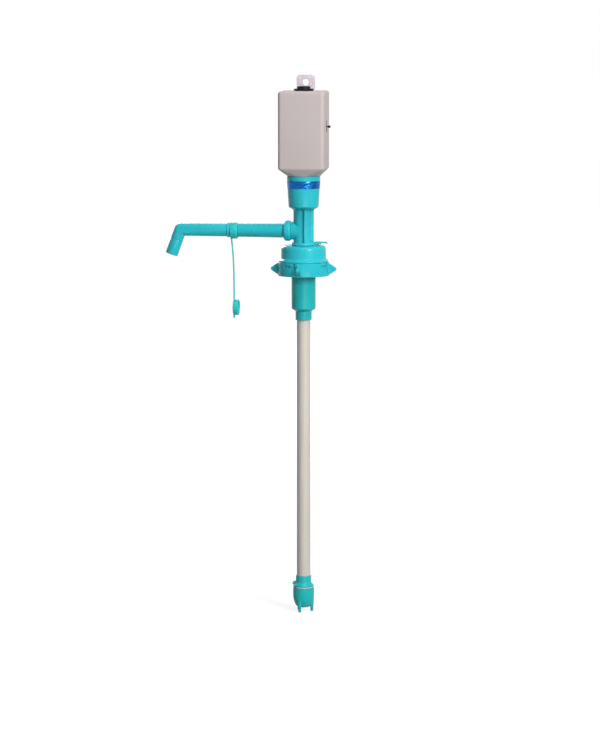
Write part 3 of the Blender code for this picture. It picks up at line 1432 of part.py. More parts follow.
def neck_cap(look, group):
    """The cap over the bottle's neck, with a flange, and a skirt whose lugs hold the clamp ring."""
    top_radius = CAP_RADIUS - CAP_TAPER
    round_centre = (top_radius - CAP_TOP_ROUND, CAP_TOP_Z - CAP_TOP_ROUND)
    profile = [(CAP_HOLE_RADIUS, CAP_UNDER_Z), (CAP_HOLE_RADIUS, CAP_TOP_Z)]
    profile += arc(round_centre, CAP_TOP_ROUND, math.pi / 2, 0, 4)
    profile += [
        (CAP_RADIUS, -CAP_DEPTH),
        (CAP_FLANGE_RADIUS, CAP_FLANGE_Z),
        (CAP_FLANGE_RADIUS, CAP_FLANGE_UNDER_Z),
        (SKIRT_RADIUS, CAP_FLANGE_UNDER_Z),
        (SKIRT_RADIUS, -SKIRT_DEPTH),
        (SKIRT_BORE, -SKIRT_DEPTH),
        (SKIRT_BORE, -SLEEVE_TOP_DEPTH),
        (CAP_BORE, -SLEEVE_TOP_DEPTH),
        (CAP_BORE, CAP_UNDER_Z),
    ]
    cap = piece("neck_cap", turned(profile, LARGE_STEPS), look, group, origin=(0, 0, CAP_TOP_Z))
    middle = LUG_FROM_WING
    low, high = SLOT_Z + GAP, SLOT_TOP_Z - GAP
    root = SKIRT_RADIUS - SKIRT_WALL / 2

    def lug(start, end):
        return sector(root, LUG_RADIUS, low, high, start, end, 2)

    lugs = quarters(middle - LUG_WIDTH / 2, middle + LUG_WIDTH / 2, lug)
    change(cap, "lugs", lugs, "UNION")
    hole = rod(VENT_HOLE_RADIUS, CAP_UNDER_Z - OVERRUN, CAP_TOP_Z + OVERRUN)
    change(cap, "vent_hole", hole, place=(VENT_REACH, 0, 0))


def wing():
    """One wing of the clamp ring, along +X: rounded, and thicker at its root."""
    root = CLAMP_RADIUS - WING_EMBED
    high = CLAMP_TOP_Z - WING_TOP_DROP
    low = CLAMP_Z + WING_TOP_DROP
    centre = (WING_REACH - WING_TIP_RADIUS, (high + low) / 2)
    outline = [(root, low)] + arc(centre, WING_TIP_RADIUS, -WING_TILT, WING_TILT, 6) + [(root, high)]
    sides = []
    for side in (-1, 1):
        ring = []
        for radius, height in outline:
            share = (radius - root) / (WING_REACH - root)
            thick = WING_ROOT_THICK + (WING_TIP_THICK - WING_ROOT_THICK) * share
            ring.append((radius, side * thick / 2, height))
        sides.append(ring)
    return skin(sides)


def clamp_ring(look, group):
    """The ring that is turned to clamp the collar: four wings, and a bent slot beside each for a lug."""
    profile = [
        (CLAMP_BORE, CLAMP_TOP_Z),
        (CLAMP_RADIUS - CLAMP_CHAMFER, CLAMP_TOP_Z),
        (CLAMP_RADIUS, CLAMP_TOP_Z - CLAMP_CHAMFER),
        (CLAMP_RADIUS, CLAMP_Z + CLAMP_CHAMFER),
        (CLAMP_RADIUS - CLAMP_CHAMFER, CLAMP_Z),
        (CLAMP_BORE, CLAMP_Z),
    ]
    ring = piece("clamp_ring", turned(profile, LARGE_STEPS), look, group, origin=(0, 0, CLAMP_TOP_Z))
    turns = [RING_TURN + math.tau * index / WING_COUNT for index in range(WING_COUNT)]
    wings = together([moved(wing(), Matrix.Rotation(turn, 4, "Z")) for turn in turns])
    change(ring, "wings", wings, "UNION")
    inner = CLAMP_BORE - OVERRUN / 2
    outer = CLAMP_RADIUS + OVERRUN / 2

    def leg(start, end):
        return sector(inner, outer, SLOT_Z, SLOT_TOP_Z, start, end)

    def entry(start, end):
        return sector(inner, outer, SLOT_TOP_Z - GAP, CLAMP_TOP_Z + OVERRUN, start, end, 3)

    leg_end = WING_TO_SLOT + ENTRY_WIDTH + LEG_LENGTH
    change(ring, "slot_legs", quarters(WING_TO_SLOT, leg_end, leg))
    change(ring, "slot_entries", quarters(WING_TO_SLOT, WING_TO_SLOT + ENTRY_WIDTH, entry))


def grip_sleeve(look, group):
    """The soft sleeve inside the skirt that grips the bottle's neck."""
    outer = SKIRT_BORE - GAP
    high = -SLEEVE_TOP_DEPTH - GAP
    profile = [(CAP_BORE, high), (outer, high), (outer, -SKIRT_DEPTH), (CAP_BORE, -SKIRT_DEPTH)]
    piece("grip_sleeve", turned(profile, LARGE_STEPS), look, group, origin=(0, 0, high))


def vent_flap(look, group):
    """The lever over the air vent: a round knuckle on the pin and a flat arm with its tip turned down."""
    top = VENT_PIN_Z + KNUCKLE_RADIUS
    lower = math.asin((FLAP_UNDER_Z - VENT_PIN_Z) / KNUCKLE_RADIUS)
    outline = arc((VENT_PIN_REACH, VENT_PIN_Z), KNUCKLE_RADIUS, math.pi / 2, math.tau + lower, 12)
    tip = VENT_PIN_REACH + FLAP_REACH
    outline += [
        (tip - FLAP_NOSE, FLAP_UNDER_Z),
        (tip - FLAP_NOSE / 3, FLAP_UNDER_Z - FLAP_TIP_DROP),
        (tip, FLAP_UNDER_Z),
        (tip - FLAP_NOSE, top),
    ]
    body = upright_prism(outline, -FLAP_WIDTH / 2, FLAP_WIDTH / 2)
    flap = piece("vent_flap", body, look, group, origin=(VENT_PIN_REACH, 0, VENT_PIN_Z))
    length = FLAP_WIDTH + 2 * OVERRUN
    hole = rod(VENT_PIN_RADIUS + RUNNING, 0, length)
    change(flap, "pin_hole", moved(hole, along_y(VENT_PIN_REACH, -length / 2, VENT_PIN_Z)))


def vent_pin(look, group):
    """The pin through the ears and the flap."""
    length = FLAP_WIDTH + 2 * GAP + 2 * EAR_THICK
    place = (VENT_PIN_REACH, -length / 2, VENT_PIN_Z)
    piece("vent_pin", rod(VENT_PIN_RADIUS, 0, length), look, group, turn=(-math.pi / 2, 0, 0), place=place)


def vent_plug(look, group):
    """The soft pad under the flap that closes the vent hole."""
    low = CAP_TOP_Z + GAP
    high = FLAP_UNDER_Z - GAP
    body = rod(VENT_PLUG_RADIUS, 0, high - low)
    piece("vent_plug", body, look, group, turn=(0, 0, 0), place=(VENT_REACH, 0, low))


def tube_socket(look, group):
    """The moulding in the bottle's neck: it takes the column's spigot above and the riser tube below."""
    high = CAP_UNDER_Z - GAP
    wide = SPIGOT_RADIUS + GAP
    grip = RISER_RADIUS + GAP
    stop_top = -SOCKET_STOP_DEPTH + SOCKET_STOP_THICK
    cone_top = stop_top + (SOCKET_CHAMBER - SOCKET_STOP_BORE)
    profile = [
        (wide, high),
        (SOCKET_RADIUS, high),
        (SOCKET_RADIUS, -SOCKET_DEPTH),
        (SOCKET_END_RADIUS, -SOCKET_DEPTH - SOCKET_TAPER),
        (SOCKET_END_RADIUS, -SOCKET_END_DEPTH),
        (grip, -SOCKET_END_DEPTH),
        (grip, -SOCKET_STOP_DEPTH),
        (SOCKET_STOP_BORE, -SOCKET_STOP_DEPTH),
        (SOCKET_STOP_BORE, stop_top),
        (SOCKET_CHAMBER, cone_top),
        (SOCKET_CHAMBER, SOCKET_LEDGE_Z),
        (wide, SOCKET_LEDGE_Z),
    ]
    piece("tube_socket", turned(profile), look, group, origin=(0, 0, high))


def column_seal(look, group):
    """The seal between the column's spigot and the socket's ledge."""
    high = SPIGOT_Z - GAP
    low = high - COLUMN_SEAL_THICK
    inner = SOCKET_CHAMBER
    profile = [(inner, high), (SPIGOT_RADIUS, high), (SPIGOT_RADIUS, low), (inner, low)]
    piece("column_seal", turned(profile), look, group, origin=(0, 0, low))


def riser_tube(look, group):
    """The long rigid tube down to the foot."""
    profile = [
        (RISER_BORE, RISER_TOP_Z),
        (RISER_RADIUS, RISER_TOP_Z),
        (RISER_RADIUS, RISER_Z),
        (RISER_BORE, RISER_Z),
    ]
    piece("riser_tube", turned(profile), look, group, origin=(0, 0, RISER_TOP_Z))


def tube_bushes(look, group):
    """Finned bushes that keep the long shaft in the middle of the tube."""
    outline = spokes(TUBE_BUSH_HUB, RISER_BORE - GAP, TUBE_BUSH_FIN, TUBE_BUSH_FINS)
    for number in range(1, TUBE_BUSH_COUNT + 1):
        middle = RISER_TOP_Z - RISER_LENGTH * number / (TUBE_BUSH_COUNT + 1)
        low, high = middle - TUBE_BUSH_HEIGHT / 2, middle + TUBE_BUSH_HEIGHT / 2
        body = prism(outline, low, high)
        bush = piece(f"tube_bush_{number}", body, look, group, origin=(0, 0, middle))
        change(bush, "bore", rod(SHAFT_BORE, low - OVERRUN, high + OVERRUN))


def foot_collar(look, group):
    """The collar on the tube's end: a side boss for its screw, a flange and a spigot for the bowl."""
    grip = RISER_RADIUS + GAP
    stop = RISER_Z - GAP
    profile = [
        (grip, FOOT_TOP_Z),
        (FOOT_RADIUS, FOOT_TOP_Z),
        (FOOT_RADIUS, FOOT_FLANGE_Z),
        (FOOT_FLANGE_RADIUS, FOOT_UNDER_Z + FOOT_FLANGE_EDGE),
        (FOOT_FLANGE_RADIUS, FOOT_UNDER_Z),
        (FOOT_SPIGOT_RADIUS, FOOT_UNDER_Z),
        (FOOT_SPIGOT_RADIUS, FOOT_SPIGOT_Z),
        (FOOT_SPIGOT_BORE, FOOT_SPIGOT_Z),
        (FOOT_SPIGOT_BORE, stop),
        (grip, stop),
    ]
    collar = piece("foot_collar", turned(profile), look, group, origin=(0, 0, FOOT_FLANGE_Z))
    boss_z = FOOT_FLANGE_Z - SCREW_BOSS_DROP
    root = (grip + FOOT_RADIUS) / 2
    boss = rod(SCREW_BOSS_RADIUS, root, SCREW_BOSS_REACH)
    change(collar, "screw_boss", boss, "UNION", turn=TO_SPOUT, place=(0, 0, boss_z))
    seat = SCREW_BOSS_REACH + FOOT_SCREW_PROUD - FOOT_SCREW_HEAD_THICK - GAP
    head = FOOT_SCREW_HEAD + GAP
    shank = FOOT_SCREW_SHANK + GAP
    end = SCREW_BOSS_REACH + OVERRUN
    tip = RISER_RADIUS - GAP
    hole = [(0, end), (head, end), (head, seat), (shank, seat), (shank, tip), (0, tip)]
    change(collar, "screw_hole", turned(hole, SMALL_STEPS), turn=TO_SPOUT, place=(0, 0, boss_z))


def foot_screw(look, group):
    """The small screw in the collar's boss, with its head a little proud of the boss's end."""
    end = SCREW_BOSS_REACH + FOOT_SCREW_PROUD
    seat = end - FOOT_SCREW_HEAD_THICK
    tip = RISER_RADIUS + GAP
    profile = [
        (0, end),
        (FOOT_SCREW_HEAD, end),
        (FOOT_SCREW_HEAD, seat),
        (FOOT_SCREW_SHANK, seat),
        (FOOT_SCREW_SHANK, tip),
        (0, tip),
    ]
    place = (0, 0, FOOT_FLANGE_Z - SCREW_BOSS_DROP)
    piece("foot_screw", turned(profile, SMALL_STEPS), look, group, turn=TO_SPOUT, place=place)


def bowl_gasket(look, group):
    """The flat ring squeezed between the foot collar's flange and the bowl."""
    inner = FOOT_SPIGOT_RADIUS + GAP
    high = BOWL_GASKET_Z + BOWL_GASKET_THICK
    profile = [
        (inner, high),
        (BOWL_GASKET_RADIUS, high),
        (BOWL_GASKET_RADIUS, BOWL_GASKET_Z),
        (inner, BOWL_GASKET_Z),
    ]
    piece("bowl_gasket", turned(profile), look, group, origin=(0, 0, BOWL_GASKET_Z))


def bowl_profile(radius, flat, top, dome_z, bottom):
    """Half the section of the bowl, from the axis at the top to the axis at the bottom."""
    profile = [(0, top), (radius, top)]
    for step in range(BOWL_DOME_STEPS + 1):
        angle = math.pi / 2 * step / BOWL_DOME_STEPS
        across = flat + (radius - flat) * math.cos(angle)
        height = dome_z - (dome_z - bottom) * math.sin(angle)
        profile.append((across, height))
    return profile + [(0, bottom)]


def pump_bowl(look, group):
    """The bowl round the impeller, with a round inlet below and three feet."""
    outside = bowl_profile(BOWL_RADIUS, BOWL_FLAT_RADIUS, BOWL_TOP_Z, BOWL_DOME_Z, BOWL_Z)
    bowl = piece("pump_bowl", turned(outside), look, group, origin=(0, 0, BOWL_TOP_Z))
    leg = [
        (0, BOWL_Z + LEG_EMBED),
        (LEG_TOP_RADIUS, BOWL_Z + LEG_EMBED),
        (LEG_TIP_RADIUS, LEG_Z),
        (0, LEG_Z),
    ]
    legs = []
    for index in range(LEG_COUNT):
        turn = Matrix.Rotation(LEG_TURN + math.tau * index / LEG_COUNT, 4, "Z")
        legs.append(moved(turned(leg, SMALL_STEPS), turn @ Matrix.Translation((LEG_CIRCLE, 0, 0))))
    change(bowl, "legs", together(legs), "UNION")
    hollow = BOWL_RADIUS - BOWL_WALL
    flat = INLET_RADIUS
    inside = bowl_profile(hollow, flat, BOWL_TOP_Z + OVERRUN, BOWL_DOME_Z, BOWL_FLOOR_Z)
    inside = inside[:-1] + [(flat, BOWL_Z - OVERRUN), (0, BOWL_Z - OVERRUN)]
    change(bowl, "hollow", turned(inside))


def strainer(look, group):
    """The pierced disc over the inlet, with the shaft's lower bearing in its hub."""
    top = STRAINER_Z + STRAINER_THICK
    hub_top = STRAINER_Z + STRAINER_HUB_HEIGHT
    profile = [
        (0, top),
        (SHAFT_BORE, top),
        (SHAFT_BORE, hub_top),
        (STRAINER_HUB, hub_top),
        (STRAINER_HUB, top),
        (STRAINER_RADIUS, top),
        (STRAINER_RADIUS, STRAINER_Z),
        (0, STRAINER_Z),
    ]
    disc = piece("strainer", turned(profile, STRAINER_STEPS), look, group, origin=(0, 0, STRAINER_Z))
    holes = []
    for index in range(STRAINER_HOLES):
        turn = Matrix.Rotation(math.tau * index / STRAINER_HOLES, 4, "Z")
        hole = rod(STRAINER_HOLE, STRAINER_Z - OVERRUN, top + OVERRUN, 8)
        holes.append(moved(hole, turn @ Matrix.Translation((STRAINER_HOLE_CIRCLE, 0, 0))))
    change(disc, "holes", together(holes))


for old in list(bpy.data.objects):
    bpy.data.objects.remove(old, do_unlink=True)

teal = finish("teal_plastic", (0.05, 0.61, 0.68), 0.32)
soft_teal = finish("soft_teal_plastic", (0.06, 0.54, 0.52), 0.45)
beige = finish("beige_plastic", (0.56, 0.49, 0.48), 0.45)
clear = finish("clear_plastic", (0.63, 0.56, 0.61), 0.25, alpha=0.6)
black = finish("black_plastic", (0.012, 0.012, 0.013), 0.4)
ivory = finish("ivory_plastic", (0.60, 0.55, 0.48), 0.5)
white = finish("white_plastic", (0.75, 0.75, 0.73), 0.45)
foil = finish("blue_foil", (0.01, 0.10, 0.48), 0.25, metallic=0.9)
steel = finish("steel", (0.62, 0.62, 0.61), 0.3, metallic=1.0)
copper = finish("copper_winding", (0.55, 0.22, 0.10), 0.4, metallic=0.8)
magnet = finish("dark_magnet", (0.08, 0.08, 0.09), 0.6, metallic=0.2)
brass = finish("brass", (0.55, 0.36, 0.14), 0.35, metallic=1.0)
silicone = finish("pale_silicone", (0.76, 0.62, 0.60), 0.55)
rubber = finish("black_rubber", (0.02, 0.02, 0.02), 0.7)
cell_wrap = finish("cell_wrap", (0.10, 0.11, 0.13), 0.35)
board = finish("green_board", (0.04, 0.20, 0.09), 0.5)

pump_body = empty("pump_body", (0, 0, 0))
button_group = empty("button_group", (0, 0, CASE_TOP_Z))
slide_group = empty("slide_group", (CASE_WIDTH / 2, 0, SLIDE_Z))
rotor_group = empty("rotor_group", (0, 0, COUPLING_Z))
elbow_group = empty("elbow_group", (-ELBOW_START, 0, OUTLET_Z))
tether_group = empty("tether_group", (-SWIVEL_START, 0, TETHER_Z))
clamp_group = empty("clamp_group", (0, 0, CLAMP_TOP_Z))
vent_group = empty("vent_group", (VENT_PIN_REACH, 0, VENT_PIN_Z))

front_cover(beige, pump_body)
rear_casing(beige, pump_body)
casing_screws(steel, pump_body)
hanging_tab(clear, pump_body)
button_bezel(black, pump_body)
button_cap(black, button_group)
push_switch(black, pump_body)
slide_switch_body(black, pump_body)
slide_knob(black, slide_group)
battery_holder(black, pump_body)
battery_cells(cell_wrap, pump_body)
contact_boards(board, pump_body)
motor_mount(white, pump_body)
motor_screws(steel, pump_body)
motor_can(steel, pump_body)
motor_end_cap(white, pump_body)
motor_magnet(magnet, pump_body)
motor_armature(copper, rotor_group)
motor_shaft(steel, rotor_group)
shaft_coupling(white, rotor_group)
drive_shaft(steel, rotor_group)
impeller(white, rotor_group)
pump_column(teal, pump_body)
sealing_band(foil, pump_body)
upper_bush(white, pump_body)
shaft_seal(rubber, pump_body)
spout_nut(teal, pump_body)
outlet_seal(rubber, pump_body)
spout_arm(teal, pump_body)
elbow_o_ring(rubber, pump_body)
spout_elbow(teal, elbow_group)
nozzle_tip(teal, elbow_group)
tether_ring(soft_teal, tether_group)
tether_strap(soft_teal, tether_group)
dust_cap(soft_teal, tether_group)
neck_gasket(silicone, pump_body)
neck_cap(teal, pump_body)
clamp_ring(teal, clamp_group)
grip_sleeve(silicone, pump_body)
vent_flap(teal, vent_group)
vent_pin(steel, pump_body)
vent_plug(silicone, vent_group)
tube_socket(teal, pump_body)
column_seal(rubber, pump_body)
riser_tube(ivory, pump_body)
tube_bushes(white, pump_body)
foot_collar(teal, pump_body)
foot_screw(brass, pump_body)
bowl_gasket(silicone, pump_body)
pump_bowl(teal, pump_body)
strainer(teal, pump_body)
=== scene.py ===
"""An electric pump for a large water bottle, shown alone on a pale floor.

Everything is in metres in the part's own frame: +Z up along the pump's axis, -X along the spout and -Y
to the front. Each section makes one piece, or one group of like pieces, in the order of assembly.
"""

from math import asin, cos, pi, radians, sin, tau

import bmesh
import bpy
from mathutils import Matrix, Vector


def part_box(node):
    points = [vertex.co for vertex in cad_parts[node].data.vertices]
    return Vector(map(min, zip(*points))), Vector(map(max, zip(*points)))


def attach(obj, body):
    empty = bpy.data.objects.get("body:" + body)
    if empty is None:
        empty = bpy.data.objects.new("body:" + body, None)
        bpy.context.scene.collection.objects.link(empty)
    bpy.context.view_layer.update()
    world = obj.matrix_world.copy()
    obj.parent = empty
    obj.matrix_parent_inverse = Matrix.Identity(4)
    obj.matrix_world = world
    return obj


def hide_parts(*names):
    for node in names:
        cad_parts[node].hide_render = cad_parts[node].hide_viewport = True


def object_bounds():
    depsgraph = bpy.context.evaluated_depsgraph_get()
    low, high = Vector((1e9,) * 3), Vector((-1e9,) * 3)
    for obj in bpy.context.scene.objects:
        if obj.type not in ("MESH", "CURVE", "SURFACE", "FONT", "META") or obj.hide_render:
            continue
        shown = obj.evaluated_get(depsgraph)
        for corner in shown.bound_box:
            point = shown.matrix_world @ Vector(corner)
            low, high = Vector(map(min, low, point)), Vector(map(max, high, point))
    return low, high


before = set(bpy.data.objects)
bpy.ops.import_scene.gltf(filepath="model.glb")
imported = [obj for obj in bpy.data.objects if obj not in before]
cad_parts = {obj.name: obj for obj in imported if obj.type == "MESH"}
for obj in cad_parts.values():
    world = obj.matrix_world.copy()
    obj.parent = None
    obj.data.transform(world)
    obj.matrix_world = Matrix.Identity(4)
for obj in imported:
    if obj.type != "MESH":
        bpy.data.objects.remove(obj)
cad_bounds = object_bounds()
scene = bpy.context.scene


# The camera stands four metres off, a little to the right of the pump's front and above its middle,
# with a long lens.
LENS = 159.6
CAMERA_DISTANCE = 4.228
CAMERA_HEIGHT = 0.333
CAMERA_TURN = radians(8)
CAMERA_PITCH = radians(6.61)
CAMERA_AIM = radians(0.063)
camera_data = bpy.data.cameras.new("camera")
camera_data.lens = LENS
camera_data.clip_end = 30
camera = bpy.data.objects.new("camera", camera_data)
camera.location = (
    CAMERA_DISTANCE * sin(CAMERA_TURN),
    -CAMERA_DISTANCE * cos(CAMERA_TURN),
    CAMERA_HEIGHT,
)
camera.rotation_euler = (pi / 2 - CAMERA_PITCH, 0, CAMERA_TURN + CAMERA_AIM)
scene.collection.objects.link(camera)
scene.camera = camera
scene.view_settings.view_transform = "Standard"


# Soft studio light: a tall soft box at the right of the front, a square one overhead, a faint low one in
# front, a small cool lamp at the left and a little behind for glints, a wide one behind that fills the
# back and the left, and a faint, cool room light. The room looks white behind the pump and in its gloss.
ROOM_LIGHT = 0.05
ROOM_TINT = (0.7, 0.9, 1)
LAMPS = {
    "key": ((2.15, -2.55, 1.35), (1.1, 1.5), 104, (1, 0.98, 0.97)),
    "overhead": ((0.7, -1.2, 2.9), (1.6, 1.6), 45, (1, 1, 1)),
    "low": ((0.6, -1.7, -0.38), (1.0, 0.1), 5.5, (0.82, 0.93, 1)),
    "left": ((-3.2, 1.1, 0.95), (0.25, 0.25), 8, (0.75, 0.9, 1)),
    "back": ((-1.5, 2.6, 1.1), (1.6, 1.6), 52, (1, 1, 1)),
}
for name, (place, size, power, colour) in LAMPS.items():
    lamp_data = bpy.data.lights.new(name, "AREA")
    lamp_data.shape = "RECTANGLE"
    lamp_data.size, lamp_data.size_y = size
    lamp_data.energy = power
    lamp_data.color = colour
    lamp = bpy.data.objects.new(name, lamp_data)
    lamp.location = place
    lamp.visible_camera = False
    lamp.rotation_euler = (-Vector(place)).to_track_quat("-Z", "Y").to_euler()
    scene.collection.objects.link(lamp)


def set_sockets(node, sockets):
    """Sets a shader node's sockets. An output is linked in, and anything else is the socket's value."""
    for socket, given in sockets.items():
        if isinstance(given, bpy.types.NodeSocket):
            node.id_data.links.new(given, node.inputs[socket])
        else:
            node.inputs[socket].default_value = given


def add_node(tree, kind, sockets, **settings):
    """A new shader node with its settings and its sockets. Gives its outputs."""
    made = tree.nodes.new("ShaderNode" + kind)
    for name, value in settings.items():
        setattr(made, name, value)
    set_sockets(made, sockets)
    return made.outputs


def shown_white(tree):
    """1 for the rays that look at the white background, and 0 for the light's own rays."""
    path = add_node(tree, "LightPath", {})
    either = add_node(tree, "Math", {0: path["Is Camera Ray"], 1: path["Is Glossy Ray"]}, operation="MAXIMUM")
    return add_node(tree, "Math", {0: either[0], 1: path["Is Transmission Ray"]}, operation="MAXIMUM")[0]


world = bpy.data.worlds.new("studio")
world.use_nodes = True
scene.world = world
tree = world.node_tree
dim = (*[ROOM_LIGHT * share for share in ROOM_TINT], 1)
room = add_node(tree, "Mix", {"A": dim, "B": (1, 1, 1, 1), "Factor": shown_white(tree)}, data_type="RGBA")
set_sockets(tree.nodes["Background"], {"Color": room["Result"]})


# Floor. A wide sheet of pale, matt paper just below the part. It glows white towards its far edge, where
# it meets the white of the room.
FLOOR_SIZE = 24
FLOOR_DROP = 0.0002
FLOOR_COLOUR = (0.28, 0.285, 0.29)
FLOOR_ROUGHNESS = 0.9
GLOW_NEAR = (0.4, 0.80)
GLOW_FAR = (3.0, 1.0)
half = FLOOR_SIZE / 2
floor_z = cad_bounds[0][2] - FLOOR_DROP
floor_mesh = bpy.data.meshes.new("floor")
corners = [(x * half, y * half, floor_z) for x, y in ((-1, -1), (1, -1), (1, 1), (-1, 1))]
floor_mesh.from_pydata(corners, [], [(0, 1, 2, 3)])
floor = bpy.data.objects.new("floor", floor_mesh)
scene.collection.objects.link(floor)
paper = bpy.data.materials.new("pale_paper")
paper.use_nodes = True
tree = paper.node_tree
reach = add_node(tree, "VectorMath", {0: add_node(tree, "TexCoord", {})["Object"]}, operation="LENGTH")
ramp = {"From Min": GLOW_NEAR[0], "To Min": GLOW_NEAR[1], "From Max": GLOW_FAR[0], "To Max": GLOW_FAR[1]}
glow = add_node(tree, "MapRange", {"Value": reach["Value"], **ramp}, interpolation_type="SMOOTHSTEP")
shown = add_node(tree, "Math", {0: glow["Result"], 1: shown_white(tree)}, operation="MULTIPLY")
paper_sockets = {
    "Base Color": (*FLOOR_COLOUR, 1),
    "Roughness": FLOOR_ROUGHNESS,
    "Specular IOR Level": 0,
    "Emission Color": (1, 1, 1, 1),
    "Emission Strength": shown[0],
}
set_sockets(tree.nodes["Principled BSDF"], paper_sockets)
floor_mesh.materials.append(paper)


# Casing of the motor head. Two satin, warm grey shells are moulded in hard plastic. They meet on a fine
# seam near the front, and four screws from the back draw them together.
CASE_WIDTH = 0.060
CASE_DEPTH = 0.054
CASE_CORNER = 0.0045
CASE_WALL = 0.002
CASE_TOP_ROUND = 0.0035
CASE_FUNNEL = 0.0093
CASE_FOOT_RADIUS = 0.0217
CASE_BEND = 0.0016
CASE_EDGE = 0.00022
CASE_SEAT = 0.0044
MOUNT_BORE = 0.0195
MOUNT_SEAT = 0.0219
POST_RADIUS = 0.004
SHELF = (0.032, 0.023, 0.0015, 0.0711)
BEZEL_NECK = 0.0101
TAB_WIDTH = 0.024
SLIDE_SLOT = (0.0074, 0.0154)
CLEAR = 0.0003
PAST = 0.002
CORNER_STEPS = 8
SMOOTH_ANGLE = radians(32)
EDGE_ANGLE = radians(35)
SCREW_HEAD_THICK = 0.002
CASE_LIGHT = (0.552, 0.484, 0.472)
CASE_DARK = (0.530, 0.464, 0.452)
TONE_SPREAD = (0.3, 0.7)
RUB_REACH = 0.0005
RUB_RANGE = (0.995, 0.9)
RUB_SCALE = 420
RUB_PALE = (0.6, 0.34)
RUB_SAMPLES = 6
SKIN_STRENGTH = 0.5


def mesh_from(bm):
    """The finished mesh of a piece, with its faces pointing out and its round faces smooth."""
    bmesh.ops.recalc_face_normals(bm, faces=bm.faces)
    mesh = bpy.data.meshes.new("shape")
    bm.to_mesh(mesh)
    bm.free()
    mesh.shade_smooth()
    mesh.set_sharp_from_angle(angle=SMOOTH_ANGLE)
    return mesh


def lofted(rings):
    """A closed skin over rings of points, all with the same count."""
    bm = bmesh.new()
    loops = [[bm.verts.new(point) for point in ring] for ring in rings]
    bm.faces.new(loops[0])
    bm.faces.new(loops[-1])
    count = len(loops[0])
    for lower, upper in zip(loops, loops[1:]):
        for index in range(count):
            after = (index + 1) % count
            bm.faces.new((lower[index], lower[after], upper[after], upper[index]))
    return mesh_from(bm)


def box_ring(width, depth, corner, height, steps=CORNER_STEPS):
    """A box section with round corners."""
    ring = []
    for quarter, (side_x, side_y) in enumerate(((1, 1), (-1, 1), (-1, -1), (1, -1))):
        x, y = side_x * (width / 2 - corner), side_y * (depth / 2 - corner)
        for step in range(steps + 1):
            angle = (quarter + step / steps) * pi / 2
            ring.append(Vector((x + corner * cos(angle), y + corner * sin(angle), height)))
    return ring


def round_ring(radius, height):
    """A round section with as many points as a box section."""
    count = 4 * (CORNER_STEPS + 1)
    angles = [(index + 1 / 2) * tau / count for index in range(count)]
    return [Vector((radius * cos(angle), radius * sin(angle), height)) for angle in angles]


def between(first, second, share):
    return [a.lerp(b, share) for a, b in zip(first, second)]


def cuboid(low, high):
    outline = [(low[0], low[1]), (high[0], low[1]), (high[0], high[1]), (low[0], high[1])]
    return lofted([[(x, y, z) for x, y in outline] for z in (low[2], high[2])])


def bar(radius, low, high, steps=32):
    """A round bar along Z."""
    angles = [tau * step / steps for step in range(steps)]
    return lofted([[(radius * cos(a), radius * sin(a), z) for a in angles] for z in (low, high)])


def carved(mesh, *tools, operation="DIFFERENCE"):
    """The mesh with each tool mesh in turn cut out of it, or joined to it."""
    for tool in tools:
        pair = [bpy.data.objects.new(label, item) for label, item in (("base", mesh), ("tool", tool))]
        for item in pair:
            scene.collection.objects.link(item)
        modifier = pair[0].modifiers.new("carve", "BOOLEAN")
        modifier.operation = operation
        modifier.solver = "EXACT"
        modifier.object = pair[1]
        graph = bpy.context.evaluated_depsgraph_get()
        mesh = bpy.data.meshes.new_from_object(pair[0].evaluated_get(graph))
        for item in pair:
            bpy.data.objects.remove(item)
    return mesh


def joined(mesh, *tools):
    return carved(mesh, *tools, operation="UNION")


def turned_to(mesh, matrix):
    mesh.transform(matrix)
    return mesh


def along_y(x, y, z):
    return Matrix.Translation((x, y, z)) @ Matrix.Rotation(-pi / 2, 4, "X")


def piece(name, node, mesh, finish, edge=0.0, steps=2, body="pump_body"):
    """Puts one finished piece in place: its material, its fine edges, its body and the node it replaces."""
    made = bpy.data.objects.new(name, mesh)
    scene.collection.objects.link(made)
    mesh.materials.clear()
    mesh.materials.append(finish)
    mesh.shade_smooth()
    mesh.set_sharp_from_angle(angle=SMOOTH_ANGLE)
    if edge:
        bevel = made.modifiers.new("edge", "BEVEL")
        bevel.width = edge
        bevel.segments = steps
        bevel.limit_method = "ANGLE"
        bevel.angle_limit = EDGE_ANGLE
    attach(made, body)
    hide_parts(node)


